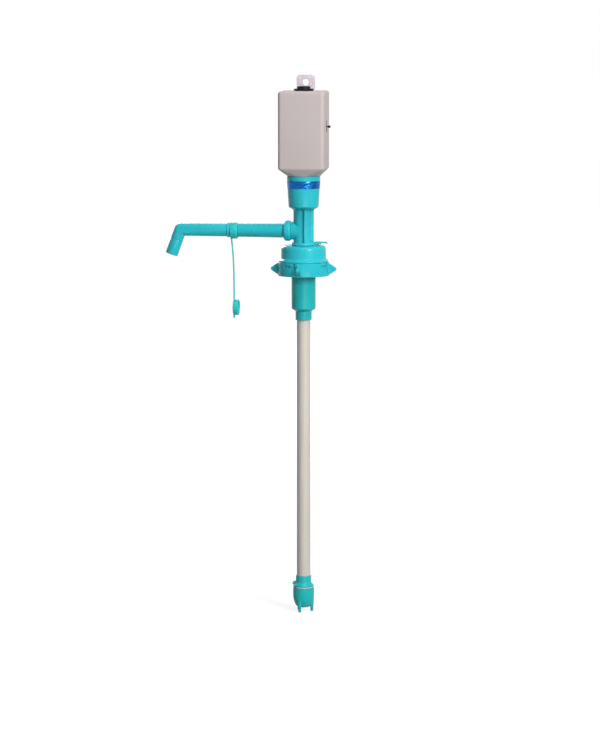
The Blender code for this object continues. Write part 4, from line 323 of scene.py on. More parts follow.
def moulded(name, light, dark, gloss, cloud=30, skin=2600, relief=0.000006, shine=0.3, wear=0.22):
    """Moulded plastic: soft clouds of colour, a fine skin in its gloss, and edges rubbed a little pale."""
    made = bpy.data.materials.new(name)
    made.use_nodes = True
    tree = made.node_tree
    place = add_node(tree, "TexCoord", {})["Object"]
    clouds = add_node(tree, "TexNoise", {"Vector": place, "Scale": cloud, "Detail": 3})["Fac"]
    tone = add_node(tree, "ValToRGB", {"Fac": clouds})["Color"]
    for element, position, colour in zip(tone.node.color_ramp.elements, TONE_SPREAD, (dark, light)):
        element.position = position
        element.color = (*colour, 1)
    rounded = add_node(tree, "Bevel", {"Radius": RUB_REACH}, samples=RUB_SAMPLES)["Normal"]
    normals = {0: rounded, 1: add_node(tree, "NewGeometry", {})["Normal"]}
    facing = add_node(tree, "VectorMath", normals, operation="DOT_PRODUCT")["Value"]
    rubbed = {"Value": facing, "From Min": RUB_RANGE[0], "From Max": RUB_RANGE[1], "To Max": wear}
    edges = add_node(tree, "MapRange", rubbed)["Result"]
    rubs = add_node(tree, "TexNoise", {"Vector": place, "Scale": RUB_SCALE})["Fac"]
    broken = add_node(tree, "Math", {0: edges, 1: rubs}, operation="MULTIPLY")[0]
    pale = (*[RUB_PALE[0] * value + RUB_PALE[1] for value in light], 1)
    worn = add_node(tree, "Mix", {"A": tone, "B": pale, "Factor": broken}, data_type="RGBA")["Result"]
    grain = add_node(tree, "TexNoise", {"Vector": place, "Scale": skin, "Detail": 2})["Fac"]
    sheen = add_node(tree, "MapRange", {"Value": clouds, "To Min": gloss[0], "To Max": gloss[1]})["Result"]
    bump = add_node(tree, "Bump", {"Height": grain, "Strength": SKIN_STRENGTH, "Distance": relief})["Normal"]
    shader = {"Base Color": worn, "Roughness": sheen, "Specular IOR Level": shine, "Normal": bump}
    set_sockets(tree.nodes["Principled BSDF"], shader)
    return made


case_low, case_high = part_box("rear_casing")
side_z = case_low.z + CASE_FUNNEL
ceiling_z = case_high.z - CASE_WALL


def case_outside():
    """The outer form: a round foot, a funnel to four sides with an eased bend, and an eased top."""
    foot = round_ring(CASE_FOOT_RADIUS, case_low.z)
    side = box_ring(CASE_WIDTH, CASE_DEPTH, CASE_CORNER, side_z)
    rings = [between(foot, side, share) for share in (0, 0.2, 0.4, 0.6, 0.8)]
    below = between(foot, side, 1 - CASE_BEND / CASE_FUNNEL)
    above = [point + Vector((0, 0, CASE_BEND)) for point in side]
    for step in range(5):
        share = step / 4
        rings.append(between(between(below, side, share), between(side, above, share), share))
    for step in range(7):
        angle = pi / 2 * step / 6
        inset = CASE_TOP_ROUND * (1 - cos(angle))
        height = case_high.z - CASE_TOP_ROUND * (1 - sin(angle))
        rings.append(box_ring(CASE_WIDTH - 2 * inset, CASE_DEPTH - 2 * inset, CASE_CORNER - inset, height))
    return lofted(rings)


def case_inside():
    """The hollow, with a seat for the motor mount."""
    seat_z = case_low.z + CASE_SEAT
    rings = [round_ring(MOUNT_BORE, case_low.z - PAST), round_ring(MOUNT_BORE, seat_z)]
    rings.append(round_ring(MOUNT_SEAT, seat_z))
    width, depth = CASE_WIDTH - 2 * CASE_WALL, CASE_DEPTH - 2 * CASE_WALL
    for height in (side_z + CASE_WALL, ceiling_z):
        rings.append(box_ring(width, depth, CASE_CORNER - CASE_WALL, height))
    return lofted(rings)


def case_shell(keep_back):
    """One shell with its posts, and with the holes for the four screws."""
    shell = carved(case_outside(), case_inside())
    inner = CASE_DEPTH / 2 - CASE_WALL / 2
    screws = [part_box(f"casing_screw_{number}") for number in range(1, 5)]
    for low, high in screws:
        x, z = (low.x + high.x) / 2, (low.z + high.z) / 2
        post = turned_to(bar(POST_RADIUS, -inner, inner), along_y(x, 0, z))
        shell = joined(shell, post)
    if keep_back:
        width, reach, thick, drop = SHELF
        top = case_high.z - drop
        low = (-width / 2, CASE_DEPTH / 2 - reach, top - thick)
        shell = joined(shell, cuboid(low, (width / 2, inner, top)))
        near, far = -CASE_DEPTH / 2 - PAST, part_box("rear_casing")[0].y
    else:
        near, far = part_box("front_cover")[1].y, CASE_DEPTH / 2 + PAST
    side = CASE_WIDTH / 2 + PAST
    shell = carved(shell, cuboid((-side, near, case_low.z - 2 * PAST), (side, far, case_high.z + PAST)))
    for low, high in screws:
        x, z = (low.x + high.x) / 2, (low.z + high.z) / 2
        head = (high.x - low.x) / 2 + CLEAR
        shank = head / 2 - CLEAR / 2
        seat = high.y - SCREW_HEAD_THICK - CLEAR
        holes = bar(shank, low.y - seat - CLEAR, PAST), bar(head, 0, CASE_DEPTH / 2 + PAST - seat)
        shell = carved(shell, *[turned_to(hole, along_y(x, seat, z)) for hole in holes])
    return shell


casing_grey = moulded("casing_grey", CASE_LIGHT, CASE_DARK, (0.40, 0.52), cloud=22, skin=3200, shine=0.15)
piece("front_shell", "front_cover", case_shell(False), casing_grey, CASE_EDGE)

rear = case_shell(True)
bezel_low, bezel_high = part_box("button_bezel")
tools = [bar(BEZEL_NECK + CLEAR, ceiling_z - PAST, case_high.z + PAST, 64)]
tab_low, tab_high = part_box("hanging_tab")
slot_low = (-TAB_WIDTH / 2 - CLEAR, tab_low.y - CLEAR, ceiling_z - PAST)
slot_high = (TAB_WIDTH / 2 + CLEAR, tab_high.y + CLEAR, case_high.z + PAST)
tools.append(cuboid(slot_low, slot_high))
knob_low, knob_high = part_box("slide_knob")
knob_y, knob_z = (knob_low.y + knob_high.y) / 2, (knob_low.z + knob_high.z) / 2
wide, tall = SLIDE_SLOT[0] / 2, SLIDE_SLOT[1] / 2
slot_low = (CASE_WIDTH / 2 - CASE_WALL - PAST, knob_y - wide, knob_z - tall)
slot_high = (CASE_WIDTH / 2 + PAST, knob_y + wide, knob_z + tall)
tools.append(cuboid(slot_low, slot_high))
piece("rear_shell", "rear_casing", carved(rear, *tools), casing_grey, CASE_EDGE)


# Hanging tab. A flat tab of clear, faintly lilac plastic with a round hole. Its wider foot is held
# under the top of the rear shell.
TAB_CORNER = 0.0055
TAB_HOLE = 0.004
TAB_HOLE_DROP = 0.0099
TAB_FOOT_HEIGHT = 0.0025
TAB_LIGHT = (0.80, 0.73, 0.80)
TAB_DARK = (0.76, 0.69, 0.76)
TAB_CLEAR = {"Transmission Weight": 0.55, "IOR": 1.49}


def arc(centre, radius, start, end, steps):
    """Points on an arc, both ends included."""
    angles = [start + (end - start) * step / steps for step in range(steps + 1)]
    return [(centre[0] + radius * cos(a), centre[1] + radius * sin(a)) for a in angles]


def upright(outline, near, far):
    """A plate with an outline of (x, z) points, from near to far along Y."""
    return lofted([[(x, y, z) for x, z in outline] for y in (near, far)])


half, foot = TAB_WIDTH / 2, (tab_high.x - tab_low.x) / 2
foot_top = tab_low.z + TAB_FOOT_HEIGHT
outline = [(-foot, tab_low.z), (foot, tab_low.z), (foot, foot_top), (half, foot_top)]
outline += arc((half - TAB_CORNER, tab_high.z - TAB_CORNER), TAB_CORNER, 0, pi / 2, 12)
outline += arc((TAB_CORNER - half, tab_high.z - TAB_CORNER), TAB_CORNER, pi / 2, pi, 12)
outline += [(-half, foot_top), (-foot, foot_top)]
tab = upright(outline, tab_low.y, tab_high.y)
hole = bar(TAB_HOLE, tab_low.y - PAST, tab_high.y + PAST, 48)
tab = carved(tab, turned_to(hole, along_y(0, 0, tab_high.z - TAB_HOLE_DROP)))
clear_plastic = moulded("clear_plastic", TAB_LIGHT, TAB_DARK, (0.16, 0.26), cloud=60, relief=0.000004)
set_sockets(clear_plastic.node_tree.nodes["Principled BSDF"], TAB_CLEAR)
piece("clear_tab", "hanging_tab", tab, clear_plastic, 0.0003)


# Push button. A black bezel is pressed into the casing's top, and the black button slides in it. Its top
# has an eased rim round a shallow dish.
BEZEL_CHAMFER = 0.0006
BEZEL_BORE = 0.00905
BUTTON_RADIUS = 0.00875
BUTTON_COLLAR = 0.0012
BUTTON_COLLAR_RADIUS = 0.00985
BUTTON_BORE = 0.0075
BUTTON_TOP_WALL = 0.0022
BUTTON_STEM = 0.0015
BUTTON_DISH = 0.0004
BUTTON_DISH_RADIUS = 0.0066
EASE_SHARE = 0.45
STRAIGHT = radians(172)
BLACKS = ((0.010, 0.009, 0.011), (0.006, 0.005, 0.007))
MATT_BLACKS = ((0.006, 0.005, 0.006), (0.003, 0.003, 0.003))


def eased(profile, ease, steps=4):
    """A profile with its corners rounded by the ease, or by a point's own third number."""
    closed = all(point[0] > 0 for point in profile)
    count = len(profile)
    rounded = []
    for index, point in enumerate(profile):
        corner = Vector(point[:2])
        if not closed and index in (0, count - 1):
            rounded.append(tuple(corner))
            continue
        before = Vector(profile[index - 1][:2]) - corner
        after = Vector(profile[(index + 1) % count][:2]) - corner
        own = point[2] if len(point) > 2 else ease
        size = min(own, EASE_SHARE * before.length, EASE_SHARE * after.length)
        if size <= 0 or before.angle(after) > STRAIGHT:
            rounded.append(tuple(corner))
            continue
        start, end = corner + before.normalized() * size, corner + after.normalized() * size
        for step in range(steps + 1):
            share = step / steps
            rounded.append(tuple(start.lerp(corner, share).lerp(corner.lerp(end, share), share)))
    return rounded


def turned(profile, ease=0.00025, steps=96):
    """A body turned about Z, from (radius, height) points in a closed loop, or from axis to axis."""
    bm = bmesh.new()
    points = eased(profile, ease)
    corners = [bm.verts.new((radius, 0, height)) for radius, height in points]
    edges = [bm.edges.new(pair) for pair in zip(corners, corners[1:])]
    if all(radius > 0 for radius, _ in points):
        edges.append(bm.edges.new((corners[-1], corners[0])))
    bmesh.ops.spin(
        bm, geom=corners + edges, cent=(0, 0, 0), axis=(0, 0, 1), angle=tau, steps=steps, use_merge=True
    )
    bmesh.ops.remove_doubles(bm, verts=bm.verts, dist=1e-6)
    return mesh_from(bm)


black_plastic = moulded("black_plastic", *BLACKS, (0.34, 0.46), 90, relief=0.000003, shine=0.12)
matt_black = moulded("matt_black", *MATT_BLACKS, (0.6, 0.75), 90, relief=0.000003, shine=0, wear=0.05)
profile = [
    (BEZEL_BORE, bezel_low.z),
    (BEZEL_NECK, bezel_low.z),
    (BEZEL_NECK, case_high.z + CLEAR),
    (bezel_high.x, case_high.z + CLEAR),
    (bezel_high.x, bezel_high.z, BEZEL_CHAMFER),
    (BEZEL_BORE, bezel_high.z, BEZEL_CHAMFER),
]
piece("bezel", "button_bezel", turned(profile), black_plastic)

button_low, button_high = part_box("button_cap")
collar_top = bezel_low.z - CLEAR
ceiling = button_high.z - BUTTON_TOP_WALL
profile = [
    (0, button_high.z - BUTTON_DISH),
    (BUTTON_DISH_RADIUS, button_high.z - BUTTON_DISH, 0.001),
    (BUTTON_DISH_RADIUS + 2 * BUTTON_DISH, button_high.z, 0.0005),
    (BUTTON_RADIUS, button_high.z, 0.0008),
    (BUTTON_RADIUS, collar_top),
    (BUTTON_COLLAR_RADIUS, collar_top),
    (BUTTON_COLLAR_RADIUS, collar_top - BUTTON_COLLAR),
    (BUTTON_BORE, collar_top - BUTTON_COLLAR),
    (BUTTON_BORE, ceiling),
    (BUTTON_STEM, ceiling),
    (BUTTON_STEM, button_low.z),
    (0, button_low.z),
]
piece("button", "button_cap", turned(profile), black_plastic, body="button")


# Slide switch. A black switch fills the slot in the casing's right side with its face. Its knob, a thin
# stem with a ribbed head, slides in a channel in that face.
FACE_ROUND = 0.0006
STEM_THICK = 0.0013
STEM_PROUD = 0.0017
KNOB_TRAVEL = 0.004
KNOB_RIB = 0.00035
KNOB_RIBS = 3
switch_low, switch_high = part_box("slide_switch_body")
behind = CASE_WIDTH / 2 - CASE_WALL - CLEAR
switch = cuboid(switch_low, (behind, switch_high.y, switch_high.z))
wide, tall = SLIDE_SLOT[0] / 2 - CLEAR, SLIDE_SLOT[1] / 2 - CLEAR
ring = box_ring(2 * wide, 2 * tall, FACE_ROUND, 0, 4)
sides = (behind - CASE_WALL, switch_high.x)
face = lofted([[(x, knob_y + point.x, knob_z + point.y) for point in ring] for x in sides])
switch = joined(switch, face)
wide, tall = (knob_high.y - knob_low.y) / 2 + CLEAR, STEM_THICK / 2 + KNOB_TRAVEL + CLEAR
low = (knob_low.x - CLEAR, knob_y - wide, knob_z - tall)
switch = carved(switch, cuboid(low, (switch_high.x + PAST, knob_y + wide, knob_z + tall)))
piece("slide_body", "slide_switch_body", switch, matt_black, 0.0002)

neck = CASE_WIDTH / 2 + STEM_PROUD
outline = [
    (knob_low.x, knob_z - STEM_THICK / 2),
    (neck, knob_z - STEM_THICK / 2),
    (neck, knob_low.z),
    (knob_high.x, knob_low.z),
]
pitch = (knob_high.z - knob_low.z) / (KNOB_RIBS + 1)
for number in range(1, KNOB_RIBS + 1):
    z = knob_low.z + number * pitch
    outline += [(knob_high.x, z - KNOB_RIB / 2), (knob_high.x - KNOB_RIB, z), (knob_high.x, z + KNOB_RIB / 2)]
outline += [
    (knob_high.x, knob_high.z),
    (neck, knob_high.z),
    (neck, knob_z + STEM_THICK / 2),
    (knob_low.x, knob_z + STEM_THICK / 2),
]
knob = upright(outline, knob_low.y, knob_high.y)
piece("slide_knob_ribbed", "slide_knob", knob, matt_black, 0.00015, body="slide")


# Inside the casing. The switch under the button, the tray with its cells and contact boards, the motor
# and its mount are hidden once the shells are closed, so their solids stay, each with its own finish.
def stretched(material, scale):
    """The place on a piece, stretched along its axes."""
    place = material.node_tree.nodes["Texture Coordinate"].outputs["Object"]
    return add_node(material.node_tree, "Mapping", {"Vector": place, "Scale": scale})["Vector"]


def metal(name, light, dark, gloss, stretch=(60, 60, 900), metallic=1):
    """Drawn or turned metal: fine lines along one way, in its colour and its gloss."""
    made = moulded(name, light, dark, gloss, cloud=1)
    lines = stretched(made, stretch)
    for node in made.node_tree.nodes:
        if node.type == "TEX_NOISE":
            set_sockets(node, {"Vector": lines, "Scale": 3})
    set_sockets(made.node_tree.nodes["Principled BSDF"], {"Metallic": metallic})
    return made


def refinished(finish, *names):
    """Gives solids that stay in sight a material of their own."""
    for name in names:
        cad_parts[name].material_slots[0].material = finish


white_plastic = moulded("white_plastic", (0.76, 0.76, 0.73), (0.72, 0.72, 0.69), (0.35, 0.5))
steel = metal("drawn_steel", (0.64, 0.64, 0.63), (0.56, 0.56, 0.56), (0.22, 0.38))
winding = metal("copper_winding", (0.60, 0.24, 0.11), (0.42, 0.15, 0.07), (0.3, 0.5), (30, 30, 700))
magnet = moulded("sintered_magnet", (0.09, 0.09, 0.10), (0.06, 0.06, 0.07), (0.5, 0.7), skin=1800)
cell_film = moulded("cell_film", (0.12, 0.13, 0.15), (0.09, 0.10, 0.12), (0.22, 0.34), cloud=120)
board = moulded("coated_board", (0.05, 0.22, 0.10), (0.03, 0.17, 0.08), (0.3, 0.5), cloud=200)
rubber = moulded("black_rubber", (0.024, 0.024, 0.024), (0.016, 0.016, 0.017), (0.6, 0.8), skin=1500)
refinished(black_plastic, "push_switch", "battery_holder")
refinished(cell_film, "battery_cell_1", "battery_cell_2", "battery_cell_3", "battery_cell_4")
refinished(board, "contact_board_low", "contact_board_high")
refinished(white_plastic, "motor_mount", "motor_end_cap", "upper_bush", "shaft_coupling", "impeller")
refinished(white_plastic, "tube_bush_1", "tube_bush_2")
refinished(steel, "motor_screw_1", "motor_screw_2", "motor_can", "motor_shaft", "drive_shaft")
refinished(magnet, "motor_magnet")
refinished(winding, "motor_armature")
refinished(rubber, "shaft_seal", "outlet_seal", "elbow_o_ring", "column_seal")


# Casing screws. Four plated steel screws with round heads and crossed recesses, deep in the rear shell.
SCREW_SHANK = 0.00125
RECESS_WIDTH = 0.0007
RECESS_LENGTH = 0.0028
RECESS_DEPTH = 0.0009


def screw_section(bottom, top, head, head_thick, shank, dome, tip):
    """Half the section of a screw, from the middle of its head's top to the middle of its tip."""
    under = top - head_thick
    return [(0, top), (head, top, dome), (head, under), (shank, under), (shank, bottom, tip), (0, bottom)]


def crossed(mesh, top):
    """A screw head's crossed recess, cut down from the top."""
    for size in ((RECESS_LENGTH, RECESS_WIDTH), (RECESS_WIDTH, RECESS_LENGTH)):
        low = (-size[0] / 2, -size[1] / 2, top - RECESS_DEPTH)
        mesh = carved(mesh, cuboid(low, (size[0] / 2, size[1] / 2, top + PAST)))
    return mesh


for number in range(1, 5):
    low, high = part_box(f"casing_screw_{number}")
    length = high.y - low.y
    head = (high.x - low.x) / 2
    profile = screw_section(0, length, head, SCREW_HEAD_THICK, SCREW_SHANK, 0.0006, 0.0005)
    screw = crossed(turned(profile, steps=40), length)
    centre = ((low.x + high.x) / 2, low.y, (low.z + high.z) / 2)
    screw = turned_to(screw, along_y(*centre))
    piece(f"case_screw_{number}", f"casing_screw_{number}", screw, steel)


# Pump column. One teal moulding: a tapered cup for the motor, a column that is half-round at the spout's
# side and ribbed at the other, an outlet boss, a stepped base flange with two ears for the vent flap's
# pin, and a spigot into the tube socket. The half-round and the ribs flare out under the cup.
COLUMN_FLOOR = 0.056
CUP_BOTTOM = 0.0534
CUP_TOP_RADIUS = 0.0217
CUP_BOTTOM_RADIUS = 0.01945
CUP_CHAMFER = 0.002
CUP_WALL = 0.0022
BAND_GROOVE = 0.0004
COLUMN_RADIUS = 0.009
COLUMN_BORE = 0.0065
BASE_TOP = 0.009
BASE_STEP = (0.0153, 0.0072)
BASE_RADIUS = 0.0163
BASE_BOTTOM = 0.0055
SPIGOT_RADIUS = 0.0133
SPIGOT_BORE = 0.0113
RIB_RADIUS = 0.0132
RIB_THICK = 0.003
RIB_TURN = radians(17)
RIB_EASE = 0.0006
RIB_FOOT = 0.001
RIB_FLARE = (0.003, 0.0033)
HALF_ROUND = (0.0117, 0.0011)
OUTLET_Z = 0.024
OUTLET_BORE = 0.006
BOSS = (0.0116, 0.0155)
NIPPLE = (0.0104, 0.0188)
BUSH_HOLE = (0.0043, 0.051)
WEB_HOLE = (0.0022, 0.0485)
SEAL_HOLE = (0.0055, 0.044)
SKIRT_BOTTOM = 0.0837
PIN_REACH = 0.016
PIN_Z = 0.0079
PIN_HOLE = 0.001
EAR = (0.0034, 0.0054, 0.0024, 0.0006)
TO_SPOUT = Matrix.Rotation(-pi / 2, 4, "Y")
TEAL_LIGHT = (0.026, 0.520, 0.590)
TEAL_DARK = (0.020, 0.480, 0.545)

column_low, column_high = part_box("pump_column")
band_low, band_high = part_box("sealing_band")
cup_slope = (CUP_TOP_RADIUS - CUP_BOTTOM_RADIUS) / (column_high.z - CUP_BOTTOM - CUP_CHAMFER)


def cup_radius(height):
    return CUP_TOP_RADIUS - (column_high.z - height) * cup_slope


def rib_cross(height, reach):
    """One level of the ribs: four in a cross, with eased tips."""
    outline = []
    half = RIB_THICK / 2
    for rib in range(4):
        turn = Matrix.Rotation(RIB_TURN + rib * pi / 2, 2)
        tip = arc((reach - RIB_EASE, RIB_EASE - half), RIB_EASE, -pi / 2, 0, 4)
        tip += arc((reach - RIB_EASE, half - RIB_EASE), RIB_EASE, 0, pi / 2, 4)
        outline += [turn @ Vector(point) for point in [(half, -half)] + tip]
    return [(x, y, height) for x, y in outline]


def half_ring(height, radius):
    """One level of the half-round: a half circle at the spout's side, closed by a flat face."""
    return [(x, y, height) for x, y in arc((-HALF_ROUND[1], 0), radius, pi / 2, 1.5 * pi, 48)]


groove_low, groove_high = band_low.z - CLEAR, band_high.z + CLEAR
outside = [
    (0, column_high.z),
    (CUP_TOP_RADIUS, column_high.z, 0.0004),
    (cup_radius(groove_high), groove_high, 0.0001),
    (cup_radius(groove_high) - BAND_GROOVE, groove_high, 0.0001),
    (cup_radius(groove_low) - BAND_GROOVE, groove_low, 0.0001),
    (cup_radius(groove_low), groove_low, 0.0001),
    (CUP_BOTTOM_RADIUS, CUP_BOTTOM + CUP_CHAMFER, 0.0006),
    (CUP_BOTTOM_RADIUS - CUP_CHAMFER, CUP_BOTTOM, 0.0006),
    (COLUMN_RADIUS, CUP_BOTTOM, 0.0008),
    (COLUMN_RADIUS, BASE_TOP, 0.0008),
    (BASE_STEP[0], BASE_TOP, 0.0005),
    (BASE_STEP[0], BASE_STEP[1], 0.0003),
    (BASE_RADIUS, BASE_STEP[1], 0.0004),
    (BASE_RADIUS, BASE_BOTTOM, 0.0002),
    (SPIGOT_RADIUS, BASE_BOTTOM, 0.0002),
    (SPIGOT_RADIUS, column_low.z, 0.0004),
    (0, column_low.z),
]
column = turned(outside)
flare_height, flare_reach = RIB_FLARE
levels = [(BASE_TOP - RIB_FOOT, 0)]
for step in range(9):
    levels.append((CUP_BOTTOM - flare_height * (1 - step / 8), flare_reach * (step / 8) ** 1.5))
levels.append((CUP_BOTTOM + RIB_FOOT, flare_reach))
for section, reach in ((rib_cross, RIB_RADIUS), (half_ring, HALF_ROUND[0])):
    rings = [section(height, reach + flare) for height, flare in levels]
    column = joined(column, lofted(rings))
boss = [
    (0, NIPPLE[1]),
    (NIPPLE[0], NIPPLE[1], 0.0003),
    (NIPPLE[0], BOSS[1], 0.0001),
    (BOSS[0], BOSS[1], 0.0004),
    (BOSS[0], PAST),
    (0, PAST),
]
to_outlet = Matrix.Translation((0, 0, OUTLET_Z)) @ TO_SPOUT
column = joined(column, turned_to(turned(boss), to_outlet))
ear_start, ear_end, ear_reach, ear_rise = EAR
for side in (-1, 1):
    near, far = sorted((side * ear_start, side * ear_end))
    high = (PIN_REACH + ear_reach, far, BASE_TOP + ear_rise)
    column = joined(column, cuboid((SPIGOT_RADIUS, near, BASE_BOTTOM), high))
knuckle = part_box("vent_flap")[1].z - PIN_Z
notch_low = (PIN_REACH - knuckle - CLEAR, -ear_start, BASE_BOTTOM - PAST)
column = carved(column, cuboid(notch_low, (PIN_REACH + ear_reach, ear_start, BASE_TOP + PAST)))
pin_hole = bar(PIN_HOLE, -ear_end - PAST, ear_end + PAST)
column = carved(column, turned_to(pin_hole, along_y(PIN_REACH, 0, PIN_Z)))
inside = [
    (0, column_high.z + PAST),
    (CUP_TOP_RADIUS - CUP_WALL, column_high.z + PAST),
    (CUP_TOP_RADIUS - CUP_WALL, SKIRT_BOTTOM),
    (cup_radius(SKIRT_BOTTOM) - CUP_WALL, SKIRT_BOTTOM),
    (cup_radius(COLUMN_FLOOR) - CUP_WALL, COLUMN_FLOOR),
    (BUSH_HOLE[0], COLUMN_FLOOR),
    (BUSH_HOLE[0], BUSH_HOLE[1]),
    (WEB_HOLE[0], BUSH_HOLE[1]),
    (WEB_HOLE[0], WEB_HOLE[1]),
    (SEAL_HOLE[0], WEB_HOLE[1]),
    (SEAL_HOLE[0], SEAL_HOLE[1]),
    (COLUMN_BORE, SEAL_HOLE[1]),
    (COLUMN_BORE, BASE_BOTTOM),
    (SPIGOT_BORE, BASE_BOTTOM),
    (SPIGOT_BORE, column_low.z - PAST),
    (0, column_low.z - PAST),
]
column = carved(column, turned(inside, 0))
column = carved(column, turned_to(bar(OUTLET_BORE, 0, NIPPLE[1] + PAST, 64), to_outlet))
teal = moulded("teal_moulding", TEAL_LIGHT, TEAL_DARK, (0.20, 0.28), 24, 2200, 0.000003, 0.18)
piece("column_moulding", "pump_column", column, teal, 0.00022)


# Sealing band. A strip of mirror-bright blue foil, laid in the shallow groove round the cup. It is bare.
BAND_THICK = 0.0004
FOIL_LIGHT = (0.012, 0.14, 0.47)
FOIL_DARK = (0.003, 0.06, 0.24)
FOIL_FOLDS = (110, 110, 420)
FOIL_RELIEF = 0.0013


def band_ring(height, lift):
    return cup_radius(height) - BAND_GROOVE + CLEAR + lift


profile = [
    (band_ring(band_high.z, 0), band_high.z),
    (band_ring(band_high.z, BAND_THICK), band_high.z),
    (band_ring(band_low.z, BAND_THICK), band_low.z),
    (band_ring(band_low.z, 0), band_low.z),
]
foil = metal("blue_foil", FOIL_LIGHT, FOIL_DARK, (0.22, 0.32), (60, 60, 200), 0.9)
tree = foil.node_tree
folds = add_node(tree, "TexNoise", {"Vector": stretched(foil, FOIL_FOLDS), "Scale": 1, "Detail": 1})
crinkle = add_node(tree, "Bump", {"Height": folds["Fac"], "Distance": FOIL_RELIEF})
set_sockets(tree.nodes["Bump"], {"Normal": crinkle["Normal"]})
piece("foil_band", "sealing_band", turned(profile, 0.0001), foil)


# Spout nut and arm. The nut, bevelled at both ends, draws the arm's flange onto the outlet. The arm
# tapers to a journal for the tether's ring, and ends in a grooved spigot inside the elbow.
NUT_RADIUS = 0.0132
NUT_CHAMFER = 0.0018
NUT_THREAD = 0.0107
NUT_LIP = 0.0027
NUT_HOLE = 0.0095
ARM_FLANGE = 0.0015
ARM_RADII = (0.0092, 0.00865)
ARM_END = 0.0852
JOURNAL = 0.0076
SHOULDER = 0.0951
ARM_SPIGOT = 0.0063
ARM_SPIGOT_BORE = 0.0042
RING_GROOVE = (0.0052, 0.0016, 0.009)
ELBOW_START = 0.0954


def along_spout(node):
    """Where a node starts and ends along the spout."""
    low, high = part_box(node)
    return -high.x, -low.x


start, end = along_spout("spout_nut")
profile = [
    (NUT_THREAD, start),
    (NUT_RADIUS - NUT_CHAMFER, start, 0.0005),
    (NUT_RADIUS, start + NUT_CHAMFER, 0.0012),
    (NUT_RADIUS, end - NUT_CHAMFER, 0.0012),
    (NUT_RADIUS - NUT_CHAMFER, end, 0.0008),
    (NUT_HOLE, end, 0.0003),
    (NUT_HOLE, end - NUT_LIP),
    (NUT_THREAD, end - NUT_LIP),
]
nut = turned_to(turned(profile, steps=128), to_outlet)
piece("union_nut", "spout_nut", nut, teal)

start, end = along_spout("spout_arm")
groove_radius, groove_width, groove_start = RING_GROOVE
groove = ELBOW_START + groove_start
profile = [
    (OUTLET_BORE, start),
    (NIPPLE[0], start),
    (NIPPLE[0], start + ARM_FLANGE),
    (ARM_RADII[0], start + ARM_FLANGE, 0.0004),
    (ARM_RADII[1], ARM_END, 0.0003),
    (JOURNAL, ARM_END),
    (JOURNAL, SHOULDER),
    (ARM_SPIGOT, SHOULDER),
    (ARM_SPIGOT, groove),
    (groove_radius, groove),
    (groove_radius, groove + groove_width),
    (ARM_SPIGOT, groove + groove_width),
    (ARM_SPIGOT, end),
    (ARM_SPIGOT_BORE, end),
    (ARM_SPIGOT_BORE, ELBOW_START - ARM_FLANGE),
    (OUTLET_BORE, ELBOW_START - ARM_FLANGE),
]
arm = turned_to(turned(profile), to_outlet)
piece("arm_tube", "spout_arm", arm, teal)


# Elbow and nozzle tip. The elbow swivels on the arm's spigot, runs straight on and turns down in one
# mitred bend with a flattened corner. The tip is a plain sleeve pushed onto its end.
ELBOW_FLANGE = (0.00935, 0.0039)
ELBOW_RADIUS = 0.0083
ELBOW_BORE = 0.0066
BEND_REACH = 0.1614
BEND_FALL = radians(69.7)
BEND_NECK = 0.0125
BEND_CUT = 0.0023
BEND_WALL = 0.0015
NOZZLE_RADIUS = 0.0081
NOZZLE_END = 0.034
NOZZLE_SPIGOT = (0.0063, 0.020, 0.0046)
BEND_STEPS = 64


def bent_bar(stations, corner_cut):
    """A round bar along the spout, mitred at the bend, with the bend's outer corner cut flat.

    A station is (distance, radius): along the spout before the bend, along the nozzle after it. The bend
    itself has no distance.
    """
    bend = Vector((-BEND_REACH, 0, OUTLET_Z))
    before = Vector((-1, 0, 0))
    after = Vector((-cos(BEND_FALL), 0, -sin(BEND_FALL)))
    mitre = (before + after).normalized()
    rings = []
    passed = False
    for distance, radius in stations:
        along = after if passed else before
        level = along
        if distance is None:
            centre, level, passed = bend, mitre, True
        else:
            centre = bend + after * distance if passed else Vector((-distance, 0, OUTLET_Z))
        upward = along.cross(Vector((0, 1, 0)))
        ring = []
        for step in range(BEND_STEPS):
            angle = tau * step / BEND_STEPS
            spread = (Vector((0, 1, 0)) * cos(angle) + upward * sin(angle)) * radius
            ring.append(centre + spread - along * (spread.dot(level) / along.dot(level)))
        rings.append(ring)
    bm = bmesh.new()
    bm.from_mesh(lofted(rings))
    outward = (before - after).normalized()
    cut = bmesh.ops.bisect_plane(
        bm,
        geom=bm.verts[:] + bm.edges[:] + bm.faces[:],
        dist=1e-6,
        plane_co=bend + outward * corner_cut,
        plane_no=outward,
        clear_outer=True,
    )
    rim = [item for item in cut["geom_cut"] if isinstance(item, bmesh.types.BMEdge)]
    bmesh.ops.holes_fill(bm, edges=rim)
    return mesh_from(bm)


corner = NOZZLE_RADIUS / cos(BEND_FALL / 2) - BEND_CUT
flange_end = ELBOW_START + ELBOW_FLANGE[1]
spigot, spigot_end, spigot_bore = NOZZLE_SPIGOT
solid = [
    (ELBOW_START, ELBOW_FLANGE[0]),
    (flange_end, ELBOW_FLANGE[0]),
    (flange_end, ELBOW_RADIUS),
    (None, NOZZLE_RADIUS),
    (BEND_NECK, NOZZLE_RADIUS),
    (BEND_NECK, spigot),
    (spigot_end, spigot),
]
hollow = [
    (ELBOW_START - PAST, ELBOW_BORE),
    (None, ELBOW_BORE),
    (BEND_NECK - BEND_WALL, ELBOW_BORE),
    (BEND_NECK - BEND_WALL, spigot_bore),
    (spigot_end + PAST, spigot_bore),
]
elbow = carved(bent_bar(solid, corner), bent_bar(hollow, corner - BEND_WALL))
piece("elbow_tube", "spout_elbow", elbow, teal, 0.0004, 3, body="elbow")

